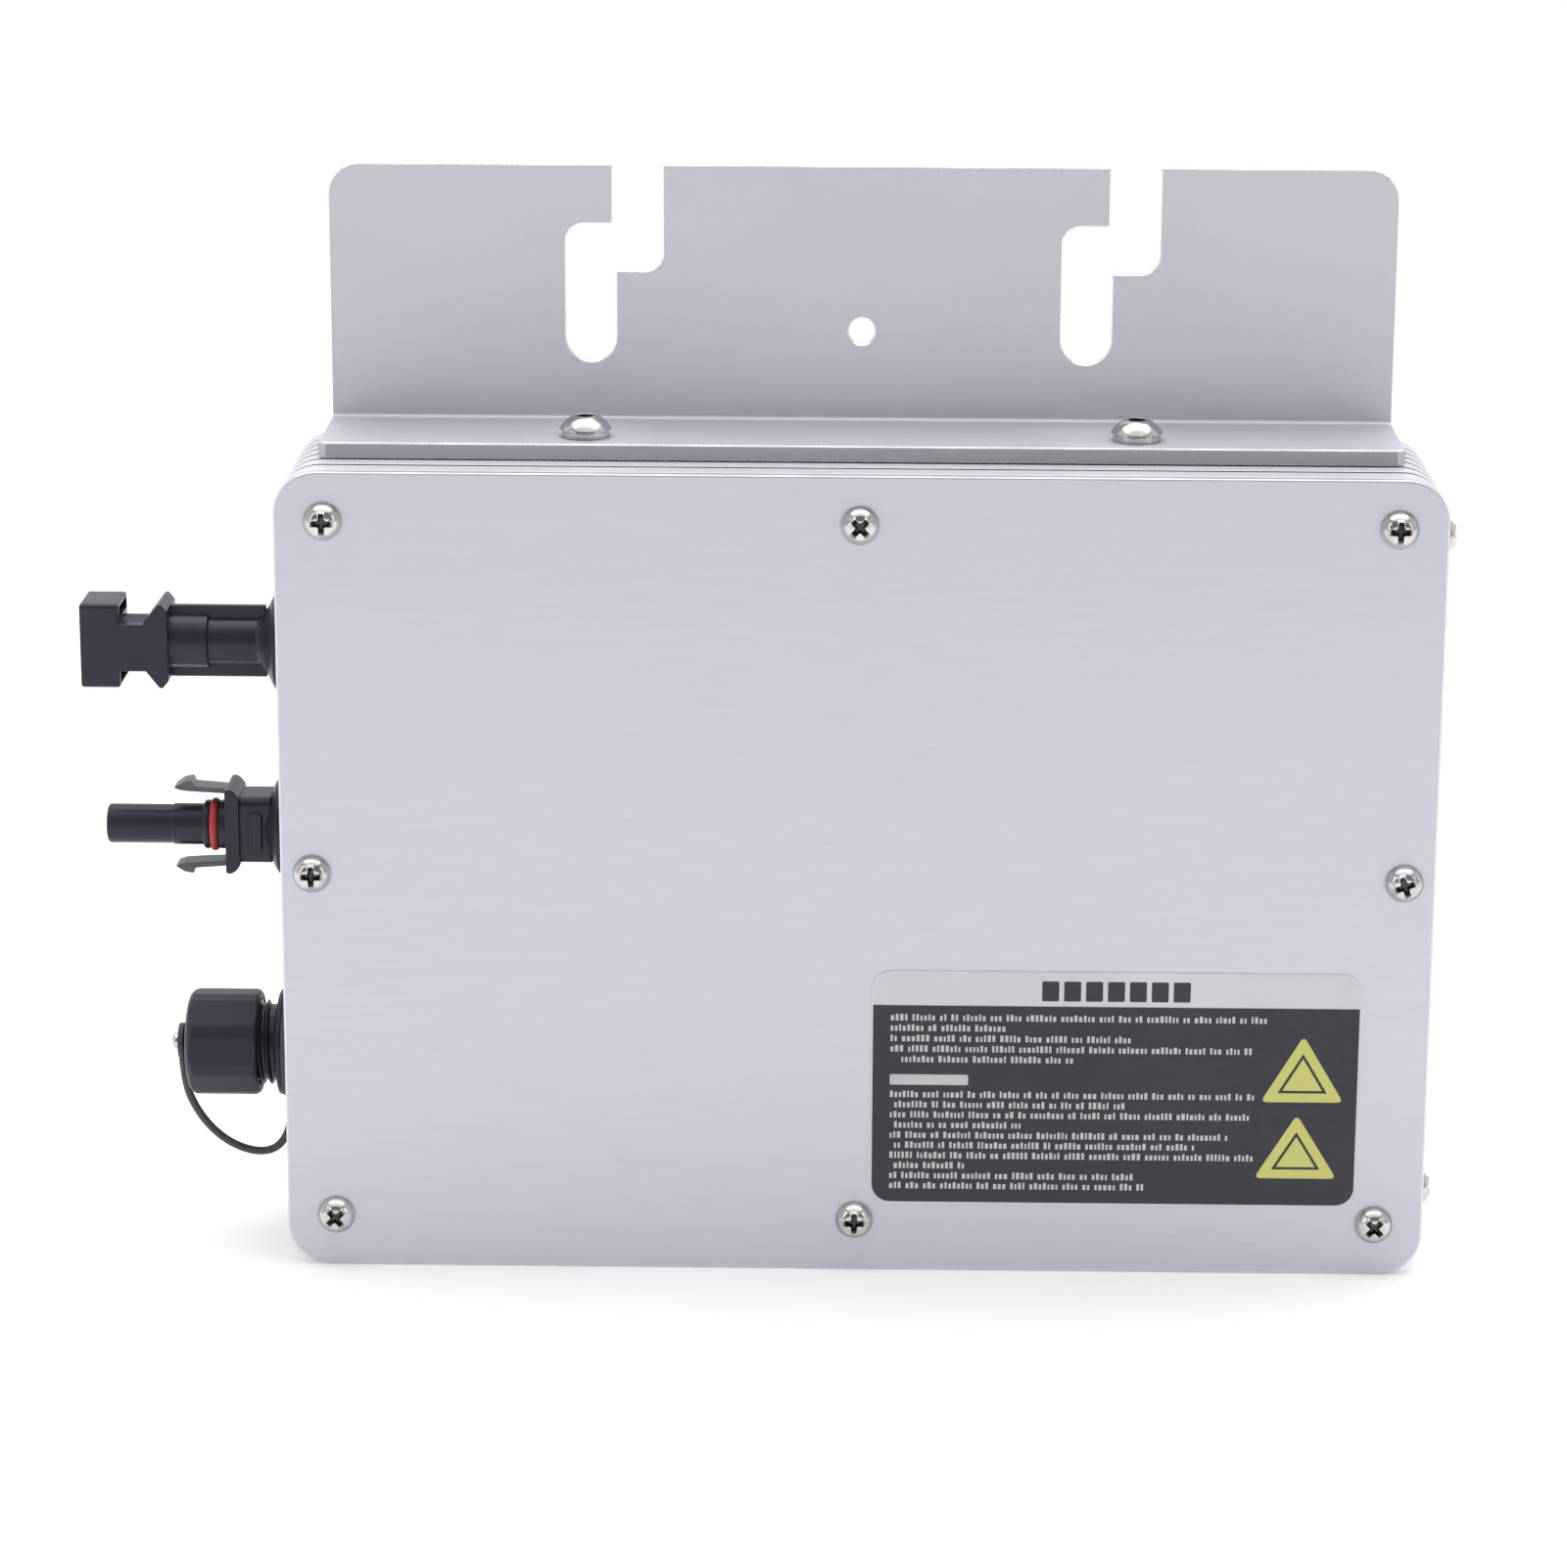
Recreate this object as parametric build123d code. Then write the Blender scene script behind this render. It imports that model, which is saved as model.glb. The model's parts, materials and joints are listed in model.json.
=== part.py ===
from build123d import *
from math import cos, sin, tan, radians
import os

# Micro inverter, in millimetres.
# X runs along the width (connectors at -X), Y from the front cover to the rear cover, Z upwards.
# The origin is the middle of the bottom face.

# Housing
BODY_WIDTH = 210.0
BODY_HEIGHT = 150.0
BODY_DEPTH = 40.0
CORNER_RADIUS = 8.0
COVER_THICKNESS = 2.0
WALL = 5.0
GROOVES = 6
GROOVE_WIDTH = 1.2
GROOVE_DEPTH = 2.2
COVER_BACK = BODY_DEPTH / 2
RING_BACK = COVER_BACK - COVER_THICKNESS
SIDE = BODY_WIDTH / 2
INNER_SIDE = SIDE - WALL
MIDDLE = BODY_HEIGHT / 2
GASKET_INSET = 2.5
GASKET_WIDTH = 1.6
GASKET_DEPTH = 1.2

# Cover screws: M3.5 pan heads with a cross recess
PAN_RADIUS = 3.5
PAN_HEIGHT = 2.4
PAN_SHANK = 1.7
COVER_SCREW_LENGTH = 7.0
BOSS_RADIUS = 4.5
BOSS_DEPTH = 5.5
COVER_SCREWS = [(-96.0, 141.0, 0), (0.0, 141.0, 45), (96.0, 141.0, 0), (-99.2, 75.5, 0),
                (99.2, 75.5, 20), (-96.0, 9.8, 40), (0.0, 9.8, 0), (96.0, 9.8, 45)]
SIDE_SCREW_Y = -8.0
SIDE_SCREW_HEIGHTS = (13.0, 137.5)
SIDE_SCREW_LENGTH = 8.5

# Bracket
BRACKET_WIDTH = 196.0
BRACKET_THICKNESS = 3.0
BRACKET_TOP = 200.0
BRACKET_CORNER = 6.0
FLANGE_FRONT = -8.0
FLANGE_TOP = BODY_HEIGHT + BRACKET_THICKNESS
HOOK_SPACING = 91.0
SLOT_WIDTH = 9.0
SLOT_OFFSET = 4.3
JOG_BOTTOM = 180.4
JOG_TOP = 189.1
SLOT_END = 168.1
SLOT_CORNER = 3.2
LOCK_HOLE_HEIGHT = 169.6
LOCK_HOLE_RADIUS = 2.4
BRACKET_SCREW_X = 50.0
BUTTON_RADIUS = 4.75
BUTTON_HEIGHT = 2.75
BUTTON_SHANK = 2.45
WASHER_THICKNESS = 1.3
WASHER_RADIUS = 4.35

# Label
LABEL_LEFT = 2.8
LABEL_RIGHT = 92.4
LABEL_BOTTOM = 13.2
LABEL_TOP = 58.2
LABEL_CORNER = 3.7
LABEL_THICKNESS = 0.2

# Connectors on the left wall
UPPER_DC_HEIGHT = 114.3
LOWER_DC_HEIGHT = 79.2
AC_HEIGHT = 36.8
SEAL_THICKNESS = 1.0
DC_STUB_RADIUS = 5.9
DC_FLANGE_RADIUS = 9.2
DC_HALF_DEPTH = 5.85
MOUTH_RADIUS = 4.35
PROBE_RADIUS = 3.65
CONTACT_RADIUS = 2.4
SOCKET_BORE = 1.6
LATCH_PIVOT_X = -116.0
LATCH_PIVOT_OFFSET = 6.85
LATCH_KNUCKLE = 0.65
LATCH_HALF_DEPTH = 2.5
RUNNING_GAP = 0.05
THREAD_CREST = 7.95
THREAD_ROOT = 7.1
THREAD_PITCH = 1.5
THREAD_TURNS = 8
AC_STUB_RADIUS = 7.9
CAP_RADIUS = 9.95
CAP_BORE = 8.25
CAP_OPEN_END = -111.6
CAP_CLOSED_END = -125.2
CORNER_FLAT = 6.4
EYELET_RADIUS = 3.4
TETHER_RADIUS = 0.75

# Circuit
BOARD_FRONT = 8.6
BOARD_THICKNESS = 1.6
BOARD_LEFT = -84.0
BOARD_RIGHT = 92.0
BOARD_BOTTOM = 8.0
BOARD_TOP = 142.0
BOARD_SCREW_RADIUS = 1.5
STANDOFF_SPOTS = [(-78.0, 20.0), (-78.0, 130.0), (86.0, 20.0), (86.0, 130.0)]


def block(x0, x1, y0, y1, z0, z1):
    """A block between two opposite corners."""
    middle = Pos((x0 + x1) / 2, (y0 + y1) / 2, (z0 + z1) / 2)
    return middle * Box(x1 - x0, y1 - y0, z1 - z0)


def rod_x(x0, x1, radius, z, y=0.0):
    """A round rod along X."""
    return Pos((x0 + x1) / 2, y, z) * Rot(0, 90, 0) * Cylinder(radius, x1 - x0)


def rod_y(y0, y1, radius, x, z):
    """A round rod along Y."""
    return Pos(x, (y0 + y1) / 2, z) * Rot(90, 0, 0) * Cylinder(radius, y1 - y0)


def rod_z(z0, z1, radius, x, y):
    """A round rod along Z."""
    return Pos(x, y, (z0 + z1) / 2) * Cylinder(radius, z1 - z0)


def facing_front(y, x=0.0, z=0.0):
    """A drawing plane seen from the front, with its own axes along X and Z."""
    return Plane(origin=(x, y, z), x_dir=(1, 0, 0), z_dir=(0, -1, 0))


def facing_left(x, z=0.0):
    """A drawing plane seen from the connector side, with its own axes along -Y and Z."""
    return Plane(origin=(x, 0, z), x_dir=(0, -1, 0), z_dir=(-1, 0, 0))


def slab(outline, front, back, x=0.0, z=0.0):
    """An outline drawn in X and Z, given depth from front to back."""
    return extrude(facing_front(front, x, z) * outline, amount=front - back)


def frame_outline(inset, width):
    """A closed band that follows the housing's outline at an inset, with the given width."""
    outer = RectangleRounded(BODY_WIDTH - 2 * inset, BODY_HEIGHT - 2 * inset, CORNER_RADIUS - inset)
    step = inset + width
    inner = RectangleRounded(BODY_WIDTH - 2 * step, BODY_HEIGHT - 2 * step, CORNER_RADIUS - step)
    return outer - inner


def turned_x(points, z):
    """A half outline of (x, radius) points turned about a line along X."""
    outline = Polyline(*[(x, z + r) for x, r in points], close=True)
    return revolve(make_face(facing_front(0) * outline), Axis((0, 0, z), (1, 0, 0)))


def side_profile(points, half_depth, z):
    """A closed outline of (x, height above z) points, given depth to both sides of Y = 0."""
    outline = make_face(Polyline(*[(x, z + h) for x, h in points], close=True))
    return slab(outline, -half_depth, half_depth)


def mirrored_profile(points, half_depth, z):
    """A side profile that is the same above and below its axis; points give the upper edge."""
    lower = [(x, -h) for x, h in reversed(points)]
    return side_profile(points + lower, half_depth, z)


def standing(shape, origin, outward, across, turn=0.0):
    """A shape built upright on Z, set on a point so that it points outward."""
    return Plane(origin=origin, x_dir=across, z_dir=outward).location * Rot(0, 0, turn) * shape


def hexagon_x(x0, x1, across_flats, z):
    """A hexagonal bar along X."""
    outline = RegularPolygon(across_flats / 2, 6, major_radius=False)
    return extrude(facing_left(x0, z) * outline, amount=x0 - x1)


def arc_radii(points):
    """The largest arc radius that the two runs beside each corner leave room for."""
    radii = []
    for before, corner, after in zip(points, points[1:], points[2:]):
        first = Vector(*corner) - Vector(*before)
        second = Vector(*after) - Vector(*corner)
        half_turn = radians(first.get_angle(second) / 2)
        radii.append(0.45 * min(first.length, second.length) / tan(half_turn))
    return radii


def lead(points, radius):
    """A round wire along straight runs joined by tangent arcs."""
    path = FilletPolyline(*points, radius=arc_radii(points))
    section = Plane(origin=path @ 0, z_dir=path % 0) * Circle(radius)
    return sweep(section, path=path)


# ---- fasteners ----

def pan_screw(length):
    """A pan-head screw standing on Z, its head above zero, with a cross recess."""
    rim_height = 1.0
    side = Polyline((0, PAN_HEIGHT), (0, -length), (PAN_SHANK, -length), (PAN_SHANK, 0),
                    (PAN_RADIUS, 0), (PAN_RADIUS, rim_height))
    crown = ThreePointArc((PAN_RADIUS, rim_height), (PAN_RADIUS * 0.68, PAN_HEIGHT * 0.85),
                          (0, PAN_HEIGHT))
    screw = revolve(make_face(Plane.XZ * (side + crown)), Axis.Z)
    recess_depth = 1.4
    recess_length = 3.7
    recess_width = 0.8
    arm = Pos(0, 0, PAN_HEIGHT) * Box(recess_length, recess_width, 2 * recess_depth)
    return screw - arm - Rot(0, 0, 90) * arm


def button_screw(length):
    """A button-head screw standing on Z, its head above zero, with a hexagon socket."""
    land_radius = 2.3
    side = Polyline((land_radius, BUTTON_HEIGHT), (0, BUTTON_HEIGHT), (0, -length),
                    (BUTTON_SHANK, -length), (BUTTON_SHANK, 0), (BUTTON_RADIUS, 0))
    dome = ThreePointArc((BUTTON_RADIUS, 0), (BUTTON_RADIUS * 0.84, BUTTON_HEIGHT * 0.6),
                         (land_radius, BUTTON_HEIGHT))
    screw = revolve(make_face(Plane.XZ * (side + dome)), Axis.Z)
    socket_depth = 1.6
    key = RegularPolygon(1.5, 6, major_radius=False)
    return screw - extrude(Pos(0, 0, BUTTON_HEIGHT) * key, amount=-socket_depth)


def cover_screws(outward):
    """The eight screws of one cover; outward is -1 for the front and 1 for the rear."""
    screw = pan_screw(COVER_SCREW_LENGTH)
    return [standing(screw, (x, outward * COVER_BACK, z), (0, outward, 0), (1, 0, 0), turn)
            for x, z, turn in COVER_SCREWS]


def side_screws():
    """The two screws that hold the heat spreader to the right-hand wall."""
    screw = pan_screw(SIDE_SCREW_LENGTH)
    return [standing(screw, (SIDE, SIDE_SCREW_Y, z), (1, 0, 0), (0, 1, 0), 10)
            for z in SIDE_SCREW_HEIGHTS]


def bracket_screws():
    """The two screws that hold the bracket down on the housing."""
    screw = button_screw(13.0)
    return [Pos(x, 0, FLANGE_TOP + WASHER_THICKNESS) * screw
            for x in (-BRACKET_SCREW_X, BRACKET_SCREW_X)]


def bracket_spring_washers():
    """Split spring washers under the bracket screws."""
    split = 0.9
    bore = 2.6
    washer = Cylinder(WASHER_RADIUS, WASHER_THICKNESS) - Cylinder(bore, WASHER_THICKNESS)
    washer -= Rot(0, 0, -60) * Pos(WASHER_RADIUS, 0, 0) * Box(2 * bore, split, WASHER_THICKNESS)
    return [Pos(x, 0, FLANGE_TOP + WASHER_THICKNESS / 2) * washer
            for x in (-BRACKET_SCREW_X, BRACKET_SCREW_X)]


# ---- housing ----

def screw_boss(x, z, outward):
    """A boss for one cover screw, with a web to the wall below or above it."""
    ends = sorted((outward * RING_BACK, outward * (RING_BACK - BOSS_DEPTH)))
    boss = rod_y(ends[0], ends[1], BOSS_RADIUS, x, z)
    web_end = WALL - 1 if z < MIDDLE else BODY_HEIGHT - WALL + 1
    if abs(web_end - z) < BOSS_RADIUS * 2:
        boss += block(x - 3, x + 3, ends[0], ends[1], min(z, web_end), max(z, web_end))
    return boss


def housing_ring():
    """The grooved frame, its screw bosses, connector pads and gasket seats."""
    inner = RectangleRounded(BODY_WIDTH - 2 * WALL, BODY_HEIGHT - 2 * WALL, CORNER_RADIUS - WALL)
    outer = RectangleRounded(BODY_WIDTH, BODY_HEIGHT, CORNER_RADIUS)
    ring = slab(outer - inner, -RING_BACK, RING_BACK, z=MIDDLE)
    for outward in (-1, 1):
        for x, z, _ in COVER_SCREWS:
            ring += screw_boss(x, z, outward)
    pitch = 2 * RING_BACK / (GROOVES + 1)
    for number in range(1, GROOVES + 1):
        y = -RING_BACK + pitch * number
        band = frame_outline(0, GROOVE_DEPTH)
        ring -= slab(band, y - GROOVE_WIDTH / 2, y + GROOVE_WIDTH / 2, z=MIDDLE)
    pad_radius = 10.4
    for height in (UPPER_DC_HEIGHT, LOWER_DC_HEIGHT, AC_HEIGHT):
        ring += rod_x(-SIDE, -INNER_SIDE, pad_radius, height)
    cavity = slab(inner, -RING_BACK, RING_BACK, z=MIDDLE)
    for x in (-BRACKET_SCREW_X, BRACKET_SCREW_X):
        ring += rod_z(BODY_HEIGHT - 14, BODY_HEIGHT - WALL, 5.0, x, 0) & cavity
        ring -= rod_z(BODY_HEIGHT - 12, BODY_HEIGHT, BUTTON_SHANK + RUNNING_GAP, x, 0)
    tap = PAN_SHANK + RUNNING_GAP
    for outward in (-1, 1):
        for x, z, _ in COVER_SCREWS:
            ends = sorted((outward * RING_BACK, outward * (RING_BACK - BOSS_DEPTH + 0.4)))
            ring -= rod_y(ends[0], ends[1], tap, x, z)
        ends = sorted((outward * RING_BACK, outward * (RING_BACK - GASKET_DEPTH)))
        seat = frame_outline(GASKET_INSET - GASKET_WIDTH / 2, GASKET_WIDTH)
        ring -= slab(seat, ends[0], ends[1], z=MIDDLE)
    for height in (UPPER_DC_HEIGHT, LOWER_DC_HEIGHT):
        ring -= rod_x(-SIDE, -INNER_SIDE, DC_STUB_RADIUS + RUNNING_GAP, height)
    ring -= rod_x(-SIDE, -INNER_SIDE, AC_STUB_RADIUS + RUNNING_GAP, AC_HEIGHT)
    for height in SIDE_SCREW_HEIGHTS:
        ring -= rod_x(INNER_SIDE, SIDE, tap, height, SIDE_SCREW_Y)
    return ring


def cover(outward):
    """A flat cover plate with screw holes and eased outer edges."""
    ends = sorted((outward * RING_BACK, outward * COVER_BACK))
    outline = RectangleRounded(BODY_WIDTH, BODY_HEIGHT, CORNER_RADIUS)
    plate = slab(outline, ends[0], ends[1], z=MIDDLE)
    outer_face = plate.faces().sort_by(Axis.Y)[0 if outward < 0 else -1]
    plate = fillet(outer_face.edges(), 0.6)
    for x, z, _ in COVER_SCREWS:
        plate -= rod_y(ends[0], ends[1], PAN_SHANK + 0.2, x, z)
    return plate


def gasket(outward):
    """The sealing cord under a cover."""
    ends = sorted((outward * RING_BACK, outward * (RING_BACK - GASKET_DEPTH)))
    seat = frame_outline(GASKET_INSET - GASKET_WIDTH / 2, GASKET_WIDTH)
    return slab(seat, ends[0], ends[1], z=MIDDLE)


def info_label():
    """The printed foil on the front cover."""
    outline = RectangleRounded(LABEL_RIGHT - LABEL_LEFT, LABEL_TOP - LABEL_BOTTOM, LABEL_CORNER)
    x = (LABEL_LEFT + LABEL_RIGHT) / 2
    z = (LABEL_BOTTOM + LABEL_TOP) / 2
    return slab(outline, -COVER_BACK - LABEL_THICKNESS, -COVER_BACK, x, z)


def hook_slot(centre):
    """The outline of one Z-shaped hook slot, drawn in X and Z."""
    half = SLOT_WIDTH / 2
    entry_top = BRACKET_TOP + 2
    entry_x = centre + SLOT_OFFSET
    lower_x = centre - SLOT_OFFSET
    entry = Pos(entry_x, (entry_top + JOG_BOTTOM) / 2) * Rectangle(SLOT_WIDTH, entry_top - JOG_BOTTOM)
    jog_width = 2 * (SLOT_OFFSET + half)
    jog = Pos(centre, (JOG_TOP + JOG_BOTTOM) / 2) * Rectangle(jog_width, JOG_TOP - JOG_BOTTOM)
    lower = Pos(lower_x, (JOG_TOP + SLOT_END) / 2) * Rectangle(SLOT_WIDTH, JOG_TOP - SLOT_END)
    slot = entry + jog + lower + Pos(lower_x, SLOT_END) * Circle(half)
    corners = [(lower_x - half, JOG_TOP), (entry_x + half, JOG_BOTTOM)]
    picked = [slot.vertices().sort_by_distance((x, z, 0))[0] for x, z in corners]
    return fillet(picked, SLOT_CORNER)


def mounting_bracket():
    """The angle that hangs the inverter on its rail."""
    plate_height = BRACKET_TOP - BODY_HEIGHT
    plate_middle = (BRACKET_TOP + BODY_HEIGHT) / 2
    outline = Rectangle(BRACKET_WIDTH, plate_height)
    outline = fillet(outline.vertices().group_by(Axis.Y)[-1], BRACKET_CORNER)
    outline = Pos(0, plate_middle) * outline
    for centre in (-HOOK_SPACING / 2, HOOK_SPACING / 2):
        outline -= hook_slot(centre)
    outline -= Pos(0, LOCK_HOLE_HEIGHT) * Circle(LOCK_HOLE_RADIUS)
    plate_front = COVER_BACK - BRACKET_THICKNESS
    bracket = slab(outline, plate_front, COVER_BACK)
    flange_depth = plate_front - FLANGE_FRONT
    foot = Rectangle(BRACKET_WIDTH, flange_depth)
    foot = chamfer(foot.vertices().group_by(Axis.Y)[0], 1.5)
    foot_middle = (plate_front + FLANGE_FRONT) / 2
    bracket += extrude(Pos(0, foot_middle, BODY_HEIGHT) * foot, amount=BRACKET_THICKNESS)
    for x in (-BRACKET_SCREW_X, BRACKET_SCREW_X):
        bracket -= rod_z(BODY_HEIGHT, FLANGE_TOP, 2.75, x, 0)
    return bracket


# ---- upper DC connector ----

def upper_dc_shell():
    """The shell whose head has two latch windows, one above and one below."""
    z = UPPER_DC_HEIGHT
    tip = -142.5
    head_end = -135.3
    wedge_start = -130.9
    wedge_end = -125.8
    step = -119.4
    body_end = -109.6
    flange = -107.0
    seat = -SIDE - SEAL_THICKNESS
    head = block(tip, head_end, -DC_HALF_DEPTH, DC_HALF_DEPTH, z - 7.85, z + 7.85)
    head = chamfer(head.edges().filter_by(Axis.X), 0.7)
    head = fillet(head.faces().sort_by(Axis.X)[0].edges(), 0.5)
    shell = head + rod_x(head_end, wedge_start, 4.8, z)
    shell += block(head_end, wedge_start, -DC_HALF_DEPTH, 1.7, z - 4.7, z + 4.1)
    wedge = [(wedge_start, 4.3), (-128.5, 7.85), (-127.1, 7.85), (wedge_end, 6.7)]
    shell += mirrored_profile(wedge, DC_HALF_DEPTH, z)
    for side in (-1, 1):
        key = [(head_end, 3.0 * side), (head_end, 5.2 * side), (-134.0, 7.4 * side), (-134.3, 3.0 * side)]
        shell += Pos(0, 2.2, 0) * side_profile(key, 1.2, z)
    shell += block(wedge_end, body_end, -0.8, 0.8, z - 6.7, z + 6.7)
    shell += rod_x(wedge_end, step, 5.15, z)
    skirt = [(step - 1, 0), (step - 1, 4.5), (-110.4, 4.5), (body_end, 5.0), (-108.6, 6.2),
             (-107.7, 8.0), (flange, DC_FLANGE_RADIUS), (seat, DC_FLANGE_RADIUS), (seat, 0)]
    shell += turned_x(skirt, z)
    shell += rod_x(seat, -92.0, DC_STUB_RADIUS, z)
    shell -= rod_x(tip, -134.5, MOUTH_RADIUS, z)
    shell -= rod_x(-134.5, -124.0, 4.1, z)
    shell -= rod_x(-124.0, -92.0, CONTACT_RADIUS + RUNNING_GAP, z)
    return shell


def upper_dc_contact():
    """The pin contact inside the upper shell, with its crimp barrel towards the circuit."""
    pin = [(-134.0, 0), (-134.0, 0.9), (-133.2, 1.5), (-124.0, 1.5), (-124.0, CONTACT_RADIUS),
           (-88.0, CONTACT_RADIUS), (-88.0, 0)]
    return turned_x(pin, UPPER_DC_HEIGHT)


# ---- lower DC connector ----

def lower_dc_shell():
    """The shell with a round probe and the sockets of two latch fingers."""
    z = LOWER_DC_HEIGHT
    seat = -SIDE - SEAL_THICKNESS
    body_end = -108.8
    turned = [(-139.1, 0), (-139.1, 3.3), (-138.7, PROBE_RADIUS), (-127.0, PROBE_RADIUS),
              (-127.0, 3.85), (-121.2, 3.85), (-121.2, 4.3), (-120.9, 4.55), (-120.1, 4.55),
              (-120.1, 3.33), (-118.3, 3.33), (-118.3, 4.55), (-110.0, 4.55),
              (body_end, 6.0), (-107.8, 8.2), (-107.1, DC_FLANGE_RADIUS),
              (seat, DC_FLANGE_RADIUS), (seat, 0)]
    shell = turned_x(turned, z)
    body = block(-114.0, body_end, -DC_HALF_DEPTH, DC_HALF_DEPTH, z - 6.3, z + 6.3)
    shell += chamfer(body.edges().filter_by(Axis.X), 1.8)
    plate = [(-116.8, 7.9), (-115.8, 8.1), (-113.6, 6.3)]
    shell += mirrored_profile(plate, DC_HALF_DEPTH, z)
    window = block(-112.6, -109.9, -DC_HALF_DEPTH - 0.4, DC_HALF_DEPTH + 0.4, z - 3.7, z + 3.7)
    shell += window
    shell += rod_x(seat, -92.0, DC_STUB_RADIUS, z)
    shell -= rod_x(-139.1, -92.0, CONTACT_RADIUS + RUNNING_GAP, z)
    half = LATCH_HALF_DEPTH + 0.1
    for side in (-1, 1):
        pivot = z + side * LATCH_PIVOT_OFFSET
        shell -= rod_y(-half, half, LATCH_KNUCKLE + RUNNING_GAP, LATCH_PIVOT_X, pivot)
        shell -= block(-117.0, LATCH_PIVOT_X, -half, half, pivot - 0.62, pivot + 0.62)
    return shell


def lower_dc_contact():
    """The socket contact inside the lower shell, with its crimp barrel towards the circuit."""
    front = -137.0
    barrel = rod_x(front, -88.0, CONTACT_RADIUS, LOWER_DC_HEIGHT)
    return barrel - rod_x(front, -123.0, SOCKET_BORE, LOWER_DC_HEIGHT)


def lower_dc_oring():
    """The sealing ring in its groove behind the probe."""
    ring_radius = 4.15
    section = 0.8
    return Pos(-119.2, 0, LOWER_DC_HEIGHT) * Rot(0, 90, 0) * Torus(ring_radius, section)


def latch_finger(side):
    """One springy latch finger with its barb; side is 1 above the probe and -1 below it."""
    z = LOWER_DC_HEIGHT
    root = [(LATCH_PIVOT_X, 6.4), (-122.0, 6.75), (-125.0, 6.95), (-126.6, 7.5), (-124.9, 8.6),
            (-123.2, 8.9), (-122.9, 7.85), (-119.5, 7.6), (LATCH_PIVOT_X, 7.35)]
    finger = side_profile([(x, side * h) for x, h in root], LATCH_HALF_DEPTH, z)
    pivot = z + side * LATCH_PIVOT_OFFSET
    return finger + rod_y(-LATCH_HALF_DEPTH, LATCH_HALF_DEPTH, LATCH_KNUCKLE, LATCH_PIVOT_X, pivot)


def panel_seal(height):
    """The flat seal between a DC connector and the wall."""
    seal = rod_x(-SIDE - SEAL_THICKNESS, -SIDE, DC_FLANGE_RADIUS - 0.4, height)
    return seal - rod_x(-SIDE - SEAL_THICKNESS, -SIDE, DC_STUB_RADIUS + RUNNING_GAP, height)


def panel_nut(height, stub_radius, across_flats):
    """The nut that holds a connector from inside the wall."""
    inner_end = -INNER_SIDE + 4.0
    nut = hexagon_x(-INNER_SIDE, inner_end, across_flats, height)
    return nut - rod_x(-INNER_SIDE, inner_end, stub_radius + RUNNING_GAP, height)


# ---- AC connector and its cap ----

def ac_socket_body():
    """The threaded socket with its flange and its stub through the wall."""
    tip = -122.0
    flange_front = -108.4
    flange_back = -SIDE - 2 * SEAL_THICKNESS
    outline = [(tip, 0), (tip, THREAD_ROOT)]
    first = tip + 0.8
    for turn in range(THREAD_TURNS):
        start = first + turn * THREAD_PITCH
        outline += [(start, THREAD_ROOT), (start + 0.6, THREAD_CREST), (start + 0.75, THREAD_CREST),
                    (start + 1.35, THREAD_ROOT)]
    outline += [(flange_front, THREAD_ROOT), (flange_front, 9.9), (flange_back, 9.9),
                (flange_back, AC_STUB_RADIUS), (-92.0, AC_STUB_RADIUS), (-92.0, 0)]
    socket = turned_x(outline, AC_HEIGHT)
    return socket - rod_x(tip, -92.0, 5.95, AC_HEIGHT)


def ac_pin_spots():
    """Where the three contact pins stand, as (y, z)."""
    circle = 3.0
    return [(circle * sin(radians(a)), AC_HEIGHT + circle * cos(radians(a))) for a in (0, 120, 240)]


def ac_insert():
    """The insulating carrier of the contact pins."""
    carrier = rod_x(-114.0, -92.0, 5.9, AC_HEIGHT)
    for y, z in ac_pin_spots():
        carrier -= rod_x(-114.0, -92.0, 1.25, z, y)
    return carrier


def ac_contact_pins():
    """The three contact pins."""
    return [rod_x(-119.5, -88.0, 1.2, z, y) for y, z in ac_pin_spots()]


def ac_panel_gasket():
    """The flat gasket between the AC socket and the wall."""
    gasket_ring = rod_x(-SIDE - SEAL_THICKNESS, -SIDE, 9.4, AC_HEIGHT)
    return gasket_ring - rod_x(-SIDE - SEAL_THICKNESS, -SIDE, AC_STUB_RADIUS + RUNNING_GAP, AC_HEIGHT)


def cap_outline(radius):
    """Eight wide flats with a narrow flat at each corner, seen from the connector side."""
    first_corner = 29.0
    angles = []
    for corner in range(8):
        middle = first_corner + 45 * corner
        angles += [middle - CORNER_FLAT, middle + CORNER_FLAT]
    points = [(radius * cos(radians(a)), radius * sin(radians(a))) for a in angles]
    return make_face(Polyline(*points, close=True))


def ac_cap():
    """The screw-on dust cap with a small boss for its tether."""
    inner_end = -123.05
    depth = CAP_OPEN_END - CAP_CLOSED_END
    cap = extrude(facing_left(CAP_CLOSED_END, AC_HEIGHT) * cap_outline(CAP_RADIUS), amount=-depth)
    rounded = [(CAP_CLOSED_END, 0), (CAP_CLOSED_END, 7.9), (-124.8, 9.0), (-123.8, 9.8),
               (-122.9, 10.1), (-112.2, 10.1), (CAP_OPEN_END, 9.5), (CAP_OPEN_END, 0)]
    cap &= turned_x(rounded, AC_HEIGHT)
    cap += rod_x(-126.0, CAP_CLOSED_END, 1.9, AC_HEIGHT)
    cap -= rod_x(inner_end, CAP_OPEN_END, CAP_BORE, AC_HEIGHT)
    cap -= rod_x(-126.0, -124.0, 1.03, AC_HEIGHT)
    return cap


def cap_seal():
    """The flat sealing ring inside the cap."""
    ring = rod_x(-123.05, -122.05, CAP_BORE - 0.1, AC_HEIGHT)
    return ring - rod_x(-123.05, -122.05, 5.6, AC_HEIGHT)


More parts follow.
